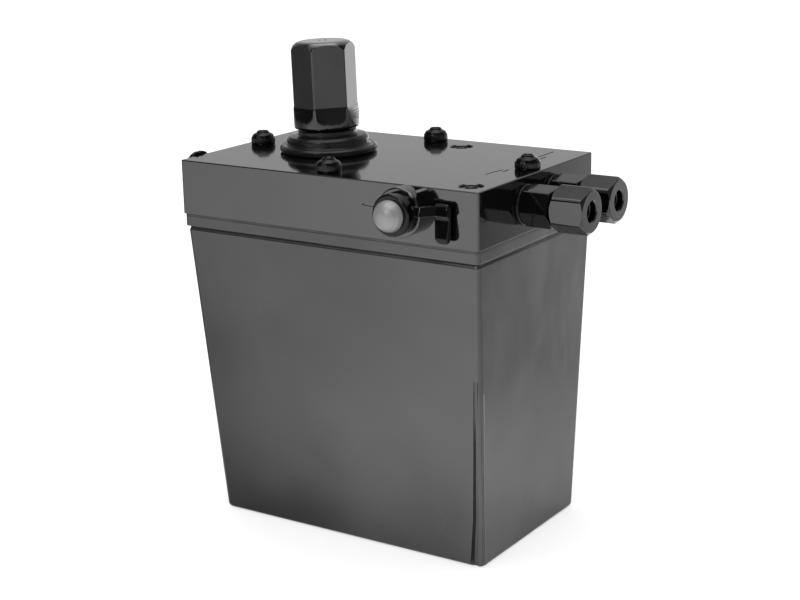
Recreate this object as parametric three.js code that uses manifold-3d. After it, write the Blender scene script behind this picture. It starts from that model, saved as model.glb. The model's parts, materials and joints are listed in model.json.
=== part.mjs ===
// Hand-operated hydraulic power unit: a machined manifold block on a tapered oil tank.
// A rocking hexagon lever drives a plunger pump that hangs under the block, in the oil. A rotary selector on
// the front face sends the flow to one of two tube fittings on the right end face.
// Units are millimetres. +Z is up, +X runs towards the tube fittings, -Y faces the selector.
// The origin is the centre of the tank's underside.
import * as THREE from "three";
import { mergeVertices } from "three/addons/utils/BufferGeometryUtils.js";
import Module from "manifold-3d";

const wasm = await Module();
wasm.setup();

// ---- driving dimensions ----
const BLOCK_LENGTH = 145.2;
const BLOCK_WIDTH = 94.6;
const BLOCK_HEIGHT = 23;
const TOP = 157; // height of the block's top face above the tank's underside
const GASKET = 1;
const RIM_HEIGHT = 6;
const TANK_WALL = 3;
const TANK_FLOOR = 4;
const HEX_ACROSS_FLATS = 24.2;
const NUT_ACROSS_FLATS = 17;
const ADAPTER_ACROSS_FLATS = 15;

// ---- places worked out from them ----
const HALF_L = BLOCK_LENGTH / 2;
const HALF_W = BLOCK_WIDTH / 2;
const BLOCK_BOTTOM = TOP - BLOCK_HEIGHT;
const RIM_TOP = BLOCK_BOTTOM - GASKET;
const RIM_BOTTOM = RIM_TOP - RIM_HEIGHT;

const LEVER_X = -29.6;
const LEVER_LEAN = -1.6; // degrees about +Y at rest; the lever's top leans towards -X
const PIVOT_Z = TOP - 11.5;
const PLUNGER_Z = PIVOT_Z - 28;
const SCREW_SPOTS = { left: [-65, 0], right: [66, 3], front: [-2, -39], rear: [-1, 41] };
const RELIEF_SPOT = [17, 33];
const GALLERY_SPOT = [64, -38];
const FILLER = { y: -33, z: TOP - 9.2, thread: 6.5, depth: 20 };
const SELECTOR = { x: 40.5, radius: 9.9, stand: 6.2, bore: 6, inner: 18 };
SELECTOR.z = TOP - SELECTOR.radius;
const PORT = { front: -11.3, rear: 12.3, z: TOP - 11.3, thread: 4.9, depth: 12, gallery: 2.5 };
const PUMP = { x0: -12, x1: 36, half: 17, z0: 103, z1: BLOCK_BOTTOM - 0.1, bore: 6.15, boreEnd: 27 };
const VALVE = { x: 22, chamber: 4.3, passage: 2.3, ball: 3.4, suctionSeat: 109, deliverySeat: 127 };
const RELIEF = { seat: TOP - 16.5, ball: 2.4, passage: 1.5, chamber: 3.6, thread: 4.6 };
const GAP = 0.15; // radial running clearance
const ROUND = 16; // facets of an ordinary round
const FINE = 28; // facets of a large visible round

// ---- materials ----
function finish(color, roughness, metalness) {
  return new THREE.MeshStandardMaterial({ color, roughness, metalness });
}
const paint = finish(0x3c3c3e, 0.3, 0.2);
const moulded = finish(0x3a393a, 0.45, 0);
const blackSteel = finish(0x1c1c1d, 0.3, 0.8);
const steel = finish(0x9a9ca0, 0.35, 1);
const rubber = finish(0x0f0f10, 0.55, 0);
const brass = finish(0xb49a54, 0.35, 1);
const gauze = finish(0xa8aaad, 0.5, 1);

// ---- solid helpers ----
// A closed three.js geometry as a manifold solid.
function solid(geometry) {
  const bare = geometry.index ? geometry.toNonIndexed() : geometry.clone();
  bare.deleteAttribute("normal");
  bare.deleteAttribute("uv");
  const merged = mergeVertices(bare, 1e-4);
  const vertProperties = merged.attributes.position.array;
  const triVerts = new Uint32Array(merged.index.array);
  return new wasm.Manifold(new wasm.Mesh({ numProp: 3, vertProperties, triVerts }));
}

function join(first, ...rest) {
  return rest.reduce((sum, next) => sum.add(next), first);
}

function cut(first, ...tools) {
  return tools.reduce((left, tool) => left.subtract(tool), first);
}

function box(x0, x1, y0, y1, z0, z1) {
  const geometry = new THREE.BoxGeometry(x1 - x0, y1 - y0, z1 - z0);
  return solid(geometry.translate((x0 + x1) / 2, (y0 + y1) / 2, (z0 + z1) / 2));
}

// Turns a geometry built along +Z so that it runs along the named axis.
function aim(geometry, axis) {
  if (axis === "x") return geometry.rotateY(Math.PI / 2);
  if (axis === "y") return geometry.rotateX(-Math.PI / 2);
  return geometry;
}

// A closed profile of [radius, distance along the axis] points, turned about an axis through `at`.
function lathe(profile, axis = "z", at = [0, 0, 0], facets = ROUND) {
  const closed = profile[0][0] > 0 ? [...profile, profile[0]] : profile;
  const points = closed.map(([r, h]) => new THREE.Vector2(r, h));
  const geometry = new THREE.LatheGeometry(points, facets).rotateX(Math.PI / 2);
  const made = solid(aim(geometry, axis).translate(...at));
  if (made.volume() > 0) return made;
  throw new Error("a lathe profile must run anticlockwise, from the lowest point outwards");
}

// A round bar from `from` to `to` along an axis. `at` holds the two other coordinates, in x, y, z order.
function bar(axis, radius, from, to, at, facets = ROUND) {
  const place = { x: [0, ...at], y: [at[0], 0, at[1]], z: [...at, 0] }[axis];
  return lathe([[0, from], [radius, from], [radius, to], [0, to]], axis, place, facets);
}

function ball(radius, at) {
  return solid(new THREE.SphereGeometry(radius, 12, 7).translate(...at));
}

function ring(major, minor, axis, at) {
  const geometry = new THREE.TorusGeometry(major, minor, 6, ROUND);
  return solid(aim(geometry, axis).translate(...at));
}

function roundedRectangle(halfX, halfY, radius, centreX = 0) {
  const shape = new THREE.Shape();
  shape.absarc(centreX + halfX - radius, halfY - radius, radius, 0, Math.PI / 2);
  shape.absarc(centreX - halfX + radius, halfY - radius, radius, Math.PI / 2, Math.PI);
  shape.absarc(centreX - halfX + radius, -halfY + radius, radius, Math.PI, 1.5 * Math.PI);
  shape.absarc(centreX + halfX - radius, -halfY + radius, radius, 1.5 * Math.PI, 2 * Math.PI);
  return shape;
}

function plate(shape, z0, z1, bevel = 0) {
  const geometry = new THREE.ExtrudeGeometry(shape, {
    depth: z1 - z0 - 2 * bevel,
    bevelEnabled: bevel > 0,
    bevelThickness: bevel,
    bevelSize: bevel,
    bevelOffset: -bevel,
    bevelSegments: 1,
    curveSegments: 4,
  });
  return solid(geometry.translate(0, 0, z0 + bevel));
}

// A regular hexagonal prism along an axis. `turn` radians swing its corners round, from a corner facing -Y.
function hexagon(axis, acrossFlats, from, to, at, turn = 0, acrossFlatsEnd = acrossFlats) {
  const corner = (flats) => flats / 2 / Math.cos(Math.PI / 6);
  const geometry = new THREE.CylinderGeometry(corner(acrossFlatsEnd), corner(acrossFlats), to - from, 6);
  geometry.rotateX(Math.PI / 2).rotateZ(turn).translate(0, 0, (from + to) / 2);
  const place = { x: [0, ...at], y: [at[0], 0, at[1]], z: [...at, 0] }[axis];
  return solid(aim(geometry, axis).translate(...place));
}

// A solid lofted through horizontal rounded rectangles: {z, halfX, halfY, radius, x}.
function loft(levels) {
  const rings = levels.map((level) => {
    const outline = roundedRectangle(level.halfX, level.halfY, level.radius, level.x);
    return outline.extractPoints(4).shape.slice(0, -1).map((p) => [p.x, p.y, level.z]);
  });
  const count = rings[0].length;
  const positions = [];
  const triangle = (...corners) => corners.forEach((corner) => positions.push(...corner));
  for (let level = 0; level + 1 < rings.length; level++) {
    for (let i = 0; i < count; i++) {
      const [a, b] = [rings[level][i], rings[level][(i + 1) % count]];
      const [c, d] = [rings[level + 1][(i + 1) % count], rings[level + 1][i]];
      triangle(a, b, c);
      triangle(a, c, d);
    }
  }
  for (let i = 1; i + 1 < count; i++) {
    triangle(rings[0][0], rings[0][i + 1], rings[0][i]);
    triangle(rings.at(-1)[0], rings.at(-1)[i], rings.at(-1)[i + 1]);
  }
  const geometry = new THREE.BufferGeometry();
  geometry.setAttribute("position", new THREE.Float32BufferAttribute(positions, 3));
  return solid(geometry);
}

// A coil spring along +Z with flat-stacked ends left open, as one swept wire.
function spring(radius, wire, z0, z1, turns, at) {
  class Helix extends THREE.Curve {
    getPoint(t, target = new THREE.Vector3()) {
      const angle = 2 * Math.PI * turns * t;
      const z = z0 + wire + (z1 - z0 - 2 * wire) * t;
      return target.set(at[0] + radius * Math.cos(angle), at[1] + radius * Math.sin(angle), z);
    }
  }
  const section = new THREE.Shape().absarc(0, 0, wire, 0, 2 * Math.PI);
  const geometry = new THREE.ExtrudeGeometry(section, {
    steps: turns * 8,
    curveSegments: 3,
    extrudePath: new Helix(),
  });
  return solid(geometry);
}

// ---- the group ----
const unit = new THREE.Group();

function add(name, made, material) {
  const mesh = made.getMesh();
  const vertices = new Float32Array(mesh.numVert * 3);
  for (let i = 0; i < mesh.numVert; i++) {
    vertices.set(mesh.vertProperties.subarray(i * mesh.numProp, i * mesh.numProp + 3), i * 3);
  }
  const geometry = new THREE.BufferGeometry();
  geometry.setAttribute("position", new THREE.BufferAttribute(vertices, 3));
  geometry.setIndex(new THREE.BufferAttribute(mesh.triVerts, 1));
  geometry.computeVertexNormals();
  const part = new THREE.Mesh(geometry, material);
  part.name = name;
  unit.add(part);
}

// ---- tank ----
const TANK_TOP = { z: RIM_BOTTOM, halfX: 71.7, halfY: 46.6, radius: 2, x: 0.5 };
const TANK_FOOT = { z: 0, halfX: 66.1, halfY: 39.8, radius: 3.2, x: 2.9 };

// The tank's outline at a height, drawn in by `inset` on every side.
function tankLevel(z, inset) {
  const share = z / RIM_BOTTOM;
  const mix = (key) => TANK_FOOT[key] + (TANK_TOP[key] - TANK_FOOT[key]) * share;
  const radius = Math.max(mix("radius") - inset, 1.2);
  return { z, halfX: mix("halfX") - inset, halfY: mix("halfY") - inset, radius, x: mix("x") };
}

function reservoir() {
  const FOOT_ROUND = 1.8;
  const foot = [tankLevel(0, FOOT_ROUND), tankLevel(0.5, 0.6), tankLevel(FOOT_ROUND, 0)];
  const walls = loft([...foot, tankLevel(RIM_BOTTOM, 0)]);
  const rim = plate(roundedRectangle(HALF_L - 0.1, HALF_W - 0.1, 2.2), RIM_BOTTOM, RIM_TOP, 0.5);
  const outside = join(walls, rim);
  const hollow = loft([tankLevel(TANK_FLOOR, TANK_WALL), tankLevel(RIM_TOP + 1, TANK_WALL)]);
  const spots = Object.values(SCREW_SPOTS);
  const bosses = spots.map((spot) => bar("z", 7, RIM_TOP - 24, RIM_TOP, spot, 16));
  const holes = spots.map((spot) => bar("z", 3.15, RIM_TOP - 18, RIM_TOP + 1, spot));
  const shell = cut(outside, hollow);
  return cut(join(shell, join(...bosses).intersect(outside), cornerBead()), ...holes, beadGroove());
}

// A raised bead that runs down the front right corner, from mid-height to the foot.
function cornerBead() {
  const BEAD = { top: 80, radius: 2.3, proud: 0.35 };
  const spot = (z) => {
    const level = tankLevel(z, 0);
    const out = (level.radius + BEAD.proud - BEAD.radius) * Math.SQRT1_2;
    const x = level.x + level.halfX - level.radius + out;
    return new THREE.Vector3(x, -level.halfY + level.radius - out, z);
  };
  const line = new THREE.LineCurve3(spot(1.2), spot(BEAD.top));
  const section = new THREE.Shape().absarc(0, 0, BEAD.radius, 0, 2 * Math.PI);
  const run = new THREE.ExtrudeGeometry(section, { steps: 1, curveSegments: 10, extrudePath: line });
  return join(solid(run), ball(BEAD.radius, spot(BEAD.top).toArray()));
}

function gasket() {
  const sheet = plate(roundedRectangle(HALF_L - 0.5, HALF_W - 0.5, 2), RIM_TOP + 0.05, BLOCK_BOTTOM - 0.05);
  const opening = plate(roundedRectangle(HALF_L - 5, HALF_W - 5, 3), RIM_TOP - 1, BLOCK_BOTTOM + 1);
  const spots = Object.values(SCREW_SPOTS);
  const ears = spots.map((spot) => bar("z", 6.5, RIM_TOP - 1, BLOCK_BOTTOM + 1, spot, 12));
  const holes = spots.map((spot) => bar("z", 3.3, RIM_TOP - 1, BLOCK_BOTTOM + 1, spot, 12));
  return cut(sheet, cut(opening, ...ears), ...holes);
}

// A tapering groove down the front face, along the left of the bead. It is deepest at the foot.
function beadGroove() {
  const CUT = { top: 84, x: 66.5, depth: 0.7, half: 0.6 };
  const edge = (z) => -(TANK_FOOT.halfY + ((TANK_TOP.halfY - TANK_FOOT.halfY) * z) / RIM_BOTTOM);
  const positions = [];
  const section = (z, x, depth, half) => {
    const lip = edge(z) - 1;
    return [[x - half, lip, z], [x, edge(z) + depth, z], [x + half, lip, z]];
  };
  const low = section(-1, CUT.x - 1.6, CUT.depth, CUT.half + 0.3);
  const high = section(CUT.top, CUT.x + 2, -0.9, 0.05);
  const triangle = (...corners) => corners.forEach((corner) => positions.push(...corner));
  triangle(low[0], low[1], low[2]);
  triangle(high[0], high[2], high[1]);
  for (let i = 0; i < 3; i++) {
    const j = (i + 1) % 3;
    triangle(low[i], high[i], high[j]);
    triangle(low[i], high[j], low[j]);
  }
  const geometry = new THREE.BufferGeometry();
  geometry.setAttribute("position", new THREE.Float32BufferAttribute(positions, 3));
  return solid(geometry);
}

// ---- manifold block ----
const PUMP_SCREWS = [[-6, -12.5], [-6, 12.5], [30, -12.5], [30, 12.5]];

function manifoldBlock() {
  const over = 1;
  const body = plate(roundedRectangle(HALF_L, HALF_W, 0.8), BLOCK_BOTTOM, TOP, 0.5);
  const axle = [SELECTOR.x, SELECTOR.z];
  const boss = bar("y", SELECTOR.radius, -HALF_W - SELECTOR.stand, -HALF_W + 4, axle, FINE);
  const well = bar("z", 15, BLOCK_BOTTOM - over, TOP + over, [LEVER_X, 0], FINE);
  const pinBore = bar("y", 5.1, -24, HALF_W + over, [LEVER_X, PIVOT_Z]);
  const pinPlugSeat = bar("y", 7.1, HALF_W - 10, HALF_W + over, [LEVER_X, PIVOT_Z]);
  const spots = Object.values(SCREW_SPOTS);
  const screwHoles = spots.map((spot) => bar("z", 3.15, BLOCK_BOTTOM - over, TOP + over, spot));
  const pumpHoles = PUMP_SCREWS.map((spot) => bar("z", 3.15, BLOCK_BOTTOM - over, BLOCK_BOTTOM + 11, spot));
  const selectorBore = bar("y", SELECTOR.bore, -HALF_W - 9, SELECTOR.inner, axle);
  const stopHole = bar("z", 1.65, BLOCK_BOTTOM - over, SELECTOR.z - 4, [SELECTOR.x, -30], 16);
  const fillerEnd = -HALF_L + FILLER.depth;
  const fillerBore = bar("x", FILLER.thread + GAP, -HALF_L - over, fillerEnd, [FILLER.y, FILLER.z]);
  const fillerDrop = bar("z", 5, BLOCK_BOTTOM - over, FILLER.z, [fillerEnd - 6, FILLER.y]);
  const bores = [well, pinBore, pinPlugSeat, selectorBore, stopHole, fillerBore, fillerDrop];
  const drillings = [...reliefDrillings(over), ...portDrillings(over), ...galleryDrillings(over)];
  return cut(join(body, boss), ...bores, ...screwHoles, ...pumpHoles, ...drillings);
}

// The relief chamber under its flush plug, and its feed from the delivery chamber.
function reliefDrillings(over) {
  const [x, y] = RELIEF_SPOT;
  return [
    bar("z", RELIEF.thread + GAP, 149, TOP + over, [x, y]),
    bar("z", RELIEF.chamber, RELIEF.seat, 150, [x, y]),
    bar("z", RELIEF.passage, 137, RELIEF.seat + over, [x, y], 16),
    bar("y", RELIEF.passage, 0, y, [x + 1.5, 138], 12),
    bar("z", 1.2, BLOCK_BOTTOM - over, 145, [x + RELIEF.chamber - 0.6, y], 12),
  ];
}

// The delivery chamber, the pressure gallery to the selector, and the two outlet ports.
function portDrillings(over) {
  const ends = [PORT.front, PORT.rear].flatMap((y) => [
    bar("x", PORT.thread, HALF_L - PORT.depth, HALF_L + over, [y, PORT.z]),
    bar("x", PORT.gallery, SELECTOR.x, HALF_L, [y, PORT.z], 20),
  ]);
  const chamber = bar("z", VALVE.chamber, BLOCK_BOTTOM - over, 147, [VALVE.x, 0]);
  const gallery = bar("x", 2.5, VALVE.x, SELECTOR.x, [0, 144.5], 20);
  return [...ends, chamber, gallery];
}

// The return drilling from the selector back to the tank, closed above by the second flush plug.
function galleryDrillings(over) {
  const [x, y] = GALLERY_SPOT;
  return [
    bar("z", RELIEF.thread + GAP, 149, TOP + over, [x, y]),
    bar("z", 2.5, BLOCK_BOTTOM - over, 150, [x, y], 20),
    bar("x", 2.5, SELECTOR.x, x, [y, 143], 20),
  ];
}

// ---- fasteners and plugs ----
// A domed cap screw with a hexagon socket, its head standing on `z`.
function tankScrew([x, y]) {
  const shank = [[0, -38], [2.4, -38], [3, -37.4], [3, 0.05]];
  const head = [[5.2, 0.05], [5.3, 1], [5.2, 3.2], [4.5, 4.7], [3.2, 5.5], [0, 5.8]];
  const socket = hexagon("z", 3.2, 3.6, 7, [0, 0]);
  return cut(lathe([...shank, ...head]), socket).translate([x, y, TOP]);
}

function pumpScrew([x, y]) {
  const body = [[0, -6], [4.6, -6], [5, -5.6], [5, -0.1], [3, -0.1], [3, 40], [0, 40]];
  return cut(lathe(body), hexagon("z", 5, -7, -3, [0, 0])).translate([x, y, PUMP.z0]);
}

// A socket plug that sits just below the block's top face.
function flushPlug([x, y]) {
  const top = TOP - 0.7;
  const body = bar("z", RELIEF.thread, 150.2, top, [x, y]);
  return cut(body, hexagon("z", 4.2, top - 3.5, TOP, [x, y]));
}

function pivotPinPlug() {
  const outer = HALF_W - 0.6;
  const body = bar("y", 6.9, HALF_W - 9.6, outer, [LEVER_X, PIVOT_Z]);
  return cut(body, hexagon("y", 6, outer - 4, HALF_W, [LEVER_X, PIVOT_Z]));
}

// The filler plug: a threaded shank and a wide round head with a socket, screwed into the left end face.
function fillerPlug() {
  const { thread } = FILLER;
  const shank = [[0, 0], [9.6, 0], [10.5, 0.7], [10.5, 2], [10, 2.3], [thread, 2.3], [thread, 17], [0, 17]];
  const start = -HALF_L - 3.3;
  const body = lathe(shank, "x", [start, FILLER.y, FILLER.z], FINE);
  return cut(body, hexagon("x", 8, start - 1, start + 5, [FILLER.y, FILLER.z]));
}

function fillerSeal() {
  const near = -HALF_L - 0.05;
  const far = -HALF_L - 0.95;
  const profile = [[6.8, far], [9, far], [9, near], [6.8, near]];
  return lathe(profile, "x", [0, FILLER.y, FILLER.z]);
}

// ---- lever, pivot and boot ----
const LEVER = { bar: 14, neck: 9, collar: TOP + 10.3, flare: TOP + 14 };
LEVER.hexFoot = TOP + 21;
LEVER.top = TOP + 47;
const HEX_TURN = THREE.MathUtils.degToRad(15);

// Swings a solid made upright about the pivot, to the angle at which the lever rests.
function lean(made) {
  return made.translate([-LEVER_X, 0, -PIVOT_Z]).rotate([0, LEVER_LEAN, 0]).translate([LEVER_X, 0, PIVOT_Z]);
}

function pumpLever() {
  const spot = [LEVER_X, 0];
  const crown = [
    [0, LEVER.collar], [LEVER.bar - 0.5, LEVER.collar], [LEVER.bar, LEVER.collar + 0.5],
    [LEVER.bar, LEVER.top - 4], [LEVER.bar - 1.2, LEVER.top - 1.6], [LEVER.bar - 2.8, LEVER.top - 0.4],
    [LEVER.bar - 4.4, LEVER.top], [0, LEVER.top],
  ];
  const round = lathe(crown, "z", [LEVER_X, 0, 0], FINE);
  const flats = hexagon("z", HEX_ACROSS_FLATS, LEVER.hexFoot, LEVER.top + 1, spot, HEX_TURN);
  const wide = 2 * LEVER.bar + 1;
  const flare = hexagon("z", wide, LEVER.flare, LEVER.hexFoot, spot, HEX_TURN, HEX_ACROSS_FLATS);
  const foot = bar("z", LEVER.bar + 1, LEVER.collar - 1, LEVER.flare, spot);
  const stub = round.intersect(join(flats, flare, foot));
  const neck = bar("z", LEVER.neck, PIVOT_Z, LEVER.collar + 1, spot);
  const eye = bar("y", 9.5, -8.5, 8.5, [LEVER_X, PIVOT_Z], FINE);
  const tip = bar("y", 5, -3.9, 3.9, [LEVER_X, PLUNGER_Z]);
  const eyeBore = bar("y", 6.55, -10, 10, [LEVER_X, PIVOT_Z]);
  return lean(cut(join(stub, neck, eye, leverArm(), tip), eyeBore));
}

// The lever's lower arm, slim at its foot so that it can swing inside the plunger's slot.
function leverArm() {
  const ARM_HALF = { foot: 2.2, head: 7, slimTo: PLUNGER_Z + 10 };
  const outline = new THREE.Shape();
  outline.moveTo(-ARM_HALF.foot, PLUNGER_Z);
  outline.lineTo(ARM_HALF.foot, PLUNGER_Z);
  outline.lineTo(ARM_HALF.foot, ARM_HALF.slimTo);
  outline.lineTo(ARM_HALF.head, PIVOT_Z);
  outline.lineTo(-ARM_HALF.head, PIVOT_Z);
  outline.lineTo(-ARM_HALF.foot, ARM_HALF.slimTo);
  return plate(outline, -3.9, 3.9).rotate([90, 0, 0]).translate([LEVER_X, 0, 0]);
}

function leverBush() {
  return lean(lathe([[5 + GAP, -8.4], [6.5, -8.4], [6.5, 8.4], [5 + GAP, 8.4]], "y", [LEVER_X, 0, PIVOT_Z]));
}

function pivotPin() {
  const profile = [[0, -23.6], [4.5, -23.6], [5, -23.1], [5, 36.5], [4.5, 37], [0, 37]];
  return lathe(profile, "y", [LEVER_X, 0, PIVOT_Z]);
}

// Rubber boot: a wide round foot and one fold on the block, and a sleeve round the neck under the collar.
function leverBoot() {
  const foot = lathe([
    [16.4, 0.05], [19.8, 0.05], [20.8, 0.9], [20.8, 2.3], [19.8, 3.2], [18.2, 3], [17.6, 3.8], [17.6, 5.8],
    [16.6, 7], [14.2, 7.4], [10.9, 7.4], [10.9, 6.2], [14.4, 5.6], [15, 2],
  ], "z", [LEVER_X, 0, TOP], FINE);
  const grip = LEVER.neck + 0.2;
  const sleeve = lathe([[grip, 6.4], [12.6, 6.4], [12.6, 9.4], [grip, 9.8]], "z", [LEVER_X, 0, TOP], FINE);
  return join(foot, lean(sleeve));
}

// ---- plunger pump under the block ----
const SEAL = { x: -5, radius: 8.35, half: 1.25 };
const FACE_SEAL = { inner: 5, outer: 7.4, depth: 1.5 };

function pumpBody() {
  const body = box(PUMP.x0, PUMP.x1, -PUMP.half, PUMP.half, PUMP.z0, PUMP.z1);
  const bore = bar("x", PUMP.bore, PUMP.x0 - 1, PUMP.boreEnd, [0, PLUNGER_Z]);
  const groove = bar("x", SEAL.radius, SEAL.x - SEAL.half, SEAL.x + SEAL.half, [0, PLUNGER_Z]);
  const spot = [VALVE.x, 0];
  const suctionThread = bar("z", 6.15, PUMP.z0 - 1, VALVE.suctionSeat, spot);
  const suctionChamber = bar("z", VALVE.chamber, VALVE.suctionSeat - 1, PLUNGER_Z, spot);
  const passage = bar("z", VALVE.passage, PLUNGER_Z, VALVE.deliverySeat + 1, spot);
  const deliveryChamber = bar("z", VALVE.chamber, VALVE.deliverySeat, PUMP.z1 + 1, spot);
  const faceLow = PUMP.z1 - FACE_SEAL.depth;
  const { inner, outer } = FACE_SEAL;
  const face = [[inner, faceLow], [outer, faceLow], [outer, TOP], [inner, TOP]];
  const faceGroove = lathe(face, "z", [VALVE.x, 0, 0]);
  const stopHole = bar("y", 1, -PUMP.half - 1, PUMP.half + 1, [VALVE.x, 117.5], 12);
  const holes = PUMP_SCREWS.map((place) => bar("z", 3.2, PUMP.z0 - 1, PUMP.z1 + 1, place));
  const valves = [suctionThread, suctionChamber, passage, deliveryChamber, faceGroove, stopHole];
  return cut(body, bore, groove, ...valves, ...holes);
}

// The plunger, with a slotted head that the lever's round tip works in.
function plunger() {
  const ROD = PUMP.bore - GAP;
  const HEAD = 8.2;
  const eye = LEVER_X - (PIVOT_Z - PLUNGER_Z) * Math.sin(THREE.MathUtils.degToRad(LEVER_LEAN));
  const tip = VALVE.x - 12;
  const profile = [
    [0, eye - 9.5], [HEAD - 0.6, eye - 9.5], [HEAD, eye - 8.9], [HEAD, eye + 7.4], [ROD, eye + 7.4],
    [ROD, tip - 0.8], [ROD - 0.8, tip], [0, tip],
  ];
  const body = lathe(profile, "x", [0, 0, PLUNGER_Z]);
  const slot = box(eye - 5.2, eye + 5.2, -4.2, 4.2, PLUNGER_Z - 10, PLUNGER_Z + 10);
  return cut(body, slot);
}

function suctionFitting() {
  const seat = VALVE.suctionSeat - 0.05;
  const socket = 3.7;
  const profile = [
    [socket, 96], [6, 96], [6, seat], [VALVE.passage, seat], [VALVE.passage, 104], [socket, 104],
  ];
  const body = lathe(profile, "z", [VALVE.x, 0, 0]);
  const wrenchFlats = hexagon("z", 14, PUMP.z0 - 5, PUMP.z0 - 0.1, [VALVE.x, 0]);
  return join(body, cut(wrenchFlats, bar("z", 5, 90, 110, [VALVE.x, 0])));
}

function suctionTube() {
  return lathe([[2.6, 26], [3.6, 26], [3.6, 103.8], [2.6, 103.8]], "z", [VALVE.x, 0, 0], 24);
}

// The strainer: a slotted cup that closes round the foot of the suction tube.
function suctionStrainer() {
  const CUP = { radius: 12, foot: 12, top: 34, wall: 1.2 };
  const cup = lathe([
    [0, CUP.foot], [CUP.radius, CUP.foot], [CUP.radius, CUP.top], [3.8, CUP.top], [3.8, CUP.top - CUP.wall],
    [CUP.radius - CUP.wall, CUP.top - CUP.wall], [CUP.radius - CUP.wall, CUP.foot + CUP.wall],
    [0, CUP.foot + CUP.wall],
  ], "z", [VALVE.x, 0, 0]);
  const slots = [];
  for (let i = 0; i < 8; i++) {
    const slot = box(6, 14, -1.6, 1.6, CUP.foot + 4, CUP.top - 4);
    slots.push(slot.rotate([0, 0, i * 45 + 11.25]).translate([VALVE.x, 0, 0]));
  }
  return cut(cup, ...slots);
}

function restingBall(radius, passage, seat, [x, y]) {
  return ball(radius, [x, y, seat + Math.sqrt(radius ** 2 - passage ** 2) + 0.08]);
}

function deliverySpring() {
  const crown = VALVE.deliverySeat + Math.sqrt(VALVE.ball ** 2 - VALVE.passage ** 2) + VALVE.ball;
  return spring(2.6, 0.45, crown + 0.3, 146.8, 5, [VALVE.x, 0]);
}

function reliefSpring() {
  const crown = RELIEF.seat + Math.sqrt(RELIEF.ball ** 2 - RELIEF.passage ** 2) + RELIEF.ball;
  return spring(2.3, 0.5, crown + 0.3, 150, 4, RELIEF_SPOT);
}

// ---- selector ----
const STUB = { radius: 4, end: -HALF_W - 11.9, thread: 3, threadEnd: -HALF_W - 15.5 };
const HUB = { radius: 8.4, inner: -HALF_W - SELECTOR.stand - 0.3, face: -HALF_W - 12 };
const DOME_NUT = { radius: 6.3, base: -HALF_W - 12.1, crown: -HALF_W - 18, bore: 3.15 };
const ARM = { reach: 21.2, thick: 3.4, low: 0, high: 3.8, bend: 10.4, step: 4.2, outerBend: 1.4 };
const TAB = { width: 6.9, top: 4.8, foot: -10.7, back: -HALF_W - 1.5 };

// The rotary spool: flow passages, a seal groove, and a quarter-turn slot for its stop pin.
function selectorSpool() {
  const radius = SELECTOR.bore - GAP;
  const profile = [
    [0, STUB.threadEnd], [STUB.thread, STUB.threadEnd], [STUB.thread, STUB.end], [STUB.radius, STUB.end],
    [STUB.radius, -HALF_W - 5.8], [radius, -HALF_W - 5.8], [radius, -44.2], [4.4, -44.2], [4.4, -41.8],
    [radius, -41.8], [radius, SELECTOR.inner - 0.5], [0, SELECTOR.inner - 0.5],
  ];
  const body = lathe(profile, "y", [SELECTOR.x, 0, SELECTOR.z]);
  const spot = [SELECTOR.x, SELECTOR.z];
  const axial = bar("y", 2, -14, SELECTOR.inner + 1, spot, 16);
  const across = (y) => bar("x", 2, SELECTOR.x - 8, SELECTOR.x + 8, [y, SELECTOR.z], 16);
  const cross = [PORT.front, 0, PORT.rear].map(across);
  const pinHole = bar("z", 1.05, SELECTOR.z - 9, SELECTOR.z + 9, [SELECTOR.x, HUB.inner - 2.5], 12);
  return cut(body, axial, ...cross, stopSlot(), pinHole);
}

// The slot spans the quarter turn from straight down to straight right, plus room for the pin at each end.
function stopSlot() {
  const SLOT = { floor: 4.1, half: 1.8, margin: THREE.MathUtils.degToRad(24) };
  const sector = new THREE.Shape();
  const start = -Math.PI / 2 - SLOT.margin;
  const finishAngle = SLOT.margin;
  sector.absarc(0, 0, 9, start, finishAngle, false);
  sector.absarc(0, 0, SLOT.floor, finishAngle, start, true);
  const made = plate(sector, -SLOT.half, SLOT.half);
  return made.rotate([90, 0, 0]).translate([SELECTOR.x, -30, SELECTOR.z]);
}

function selectorStopPin() {
  return bar("z", 1.5, BLOCK_BOTTOM + 1, SELECTOR.z - 4.4, [SELECTOR.x, -30], 16);
}

function selectorSeal() {
  return ring(5.15, 0.65, "y", [SELECTOR.x, -43, SELECTOR.z]);
}

// The handle's arm in plan: straight beside the hub, then cranked back towards the block.
function crankedArm() {
  const { reach, thick, bend, step, outerBend } = ARM;
  const outline = [
    [0, HUB.inner], [bend, HUB.inner], [bend + step, TAB.back], [reach - 1, TAB.back],
    [reach - 1, TAB.back - thick], [bend + step + outerBend, TAB.back - thick],
    [bend + outerBend, HUB.inner - thick], [0, HUB.inner - thick],
  ];
  const shape = new THREE.Shape(outline.map(([x, y]) => new THREE.Vector2(x, y)));
  return plate(shape, ARM.low, ARM.high);
}

// The selector's handle: a round hub, a cranked arm and a thumb tab.
function selectorLever() {
  const spot = [SELECTOR.x, SELECTOR.z];
  const outline = [
    [0, HUB.face], [HUB.radius - 1, HUB.face], [HUB.radius, HUB.face + 1], [HUB.radius, HUB.inner],
    [0, HUB.inner],
  ];
  const hub = lathe(outline, "y", [SELECTOR.x, 0, SELECTOR.z], FINE);
  const tab = box(
    ARM.reach - TAB.width, ARM.reach, TAB.back - ARM.thick, TAB.back, TAB.foot, TAB.top,
  );
  const handle = join(crankedArm(), tab).translate([SELECTOR.x, 0, SELECTOR.z]);
  const bore = bar("y", STUB.radius + 0.1, HUB.face - 1, -HALF_W, spot);
  const pinHole = bar("z", 1.05, SELECTOR.z - 9, SELECTOR.z + 9, [SELECTOR.x, HUB.inner - 2.5], 12);
  return cut(join(hub, handle), bore, pinHole);
}

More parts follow.
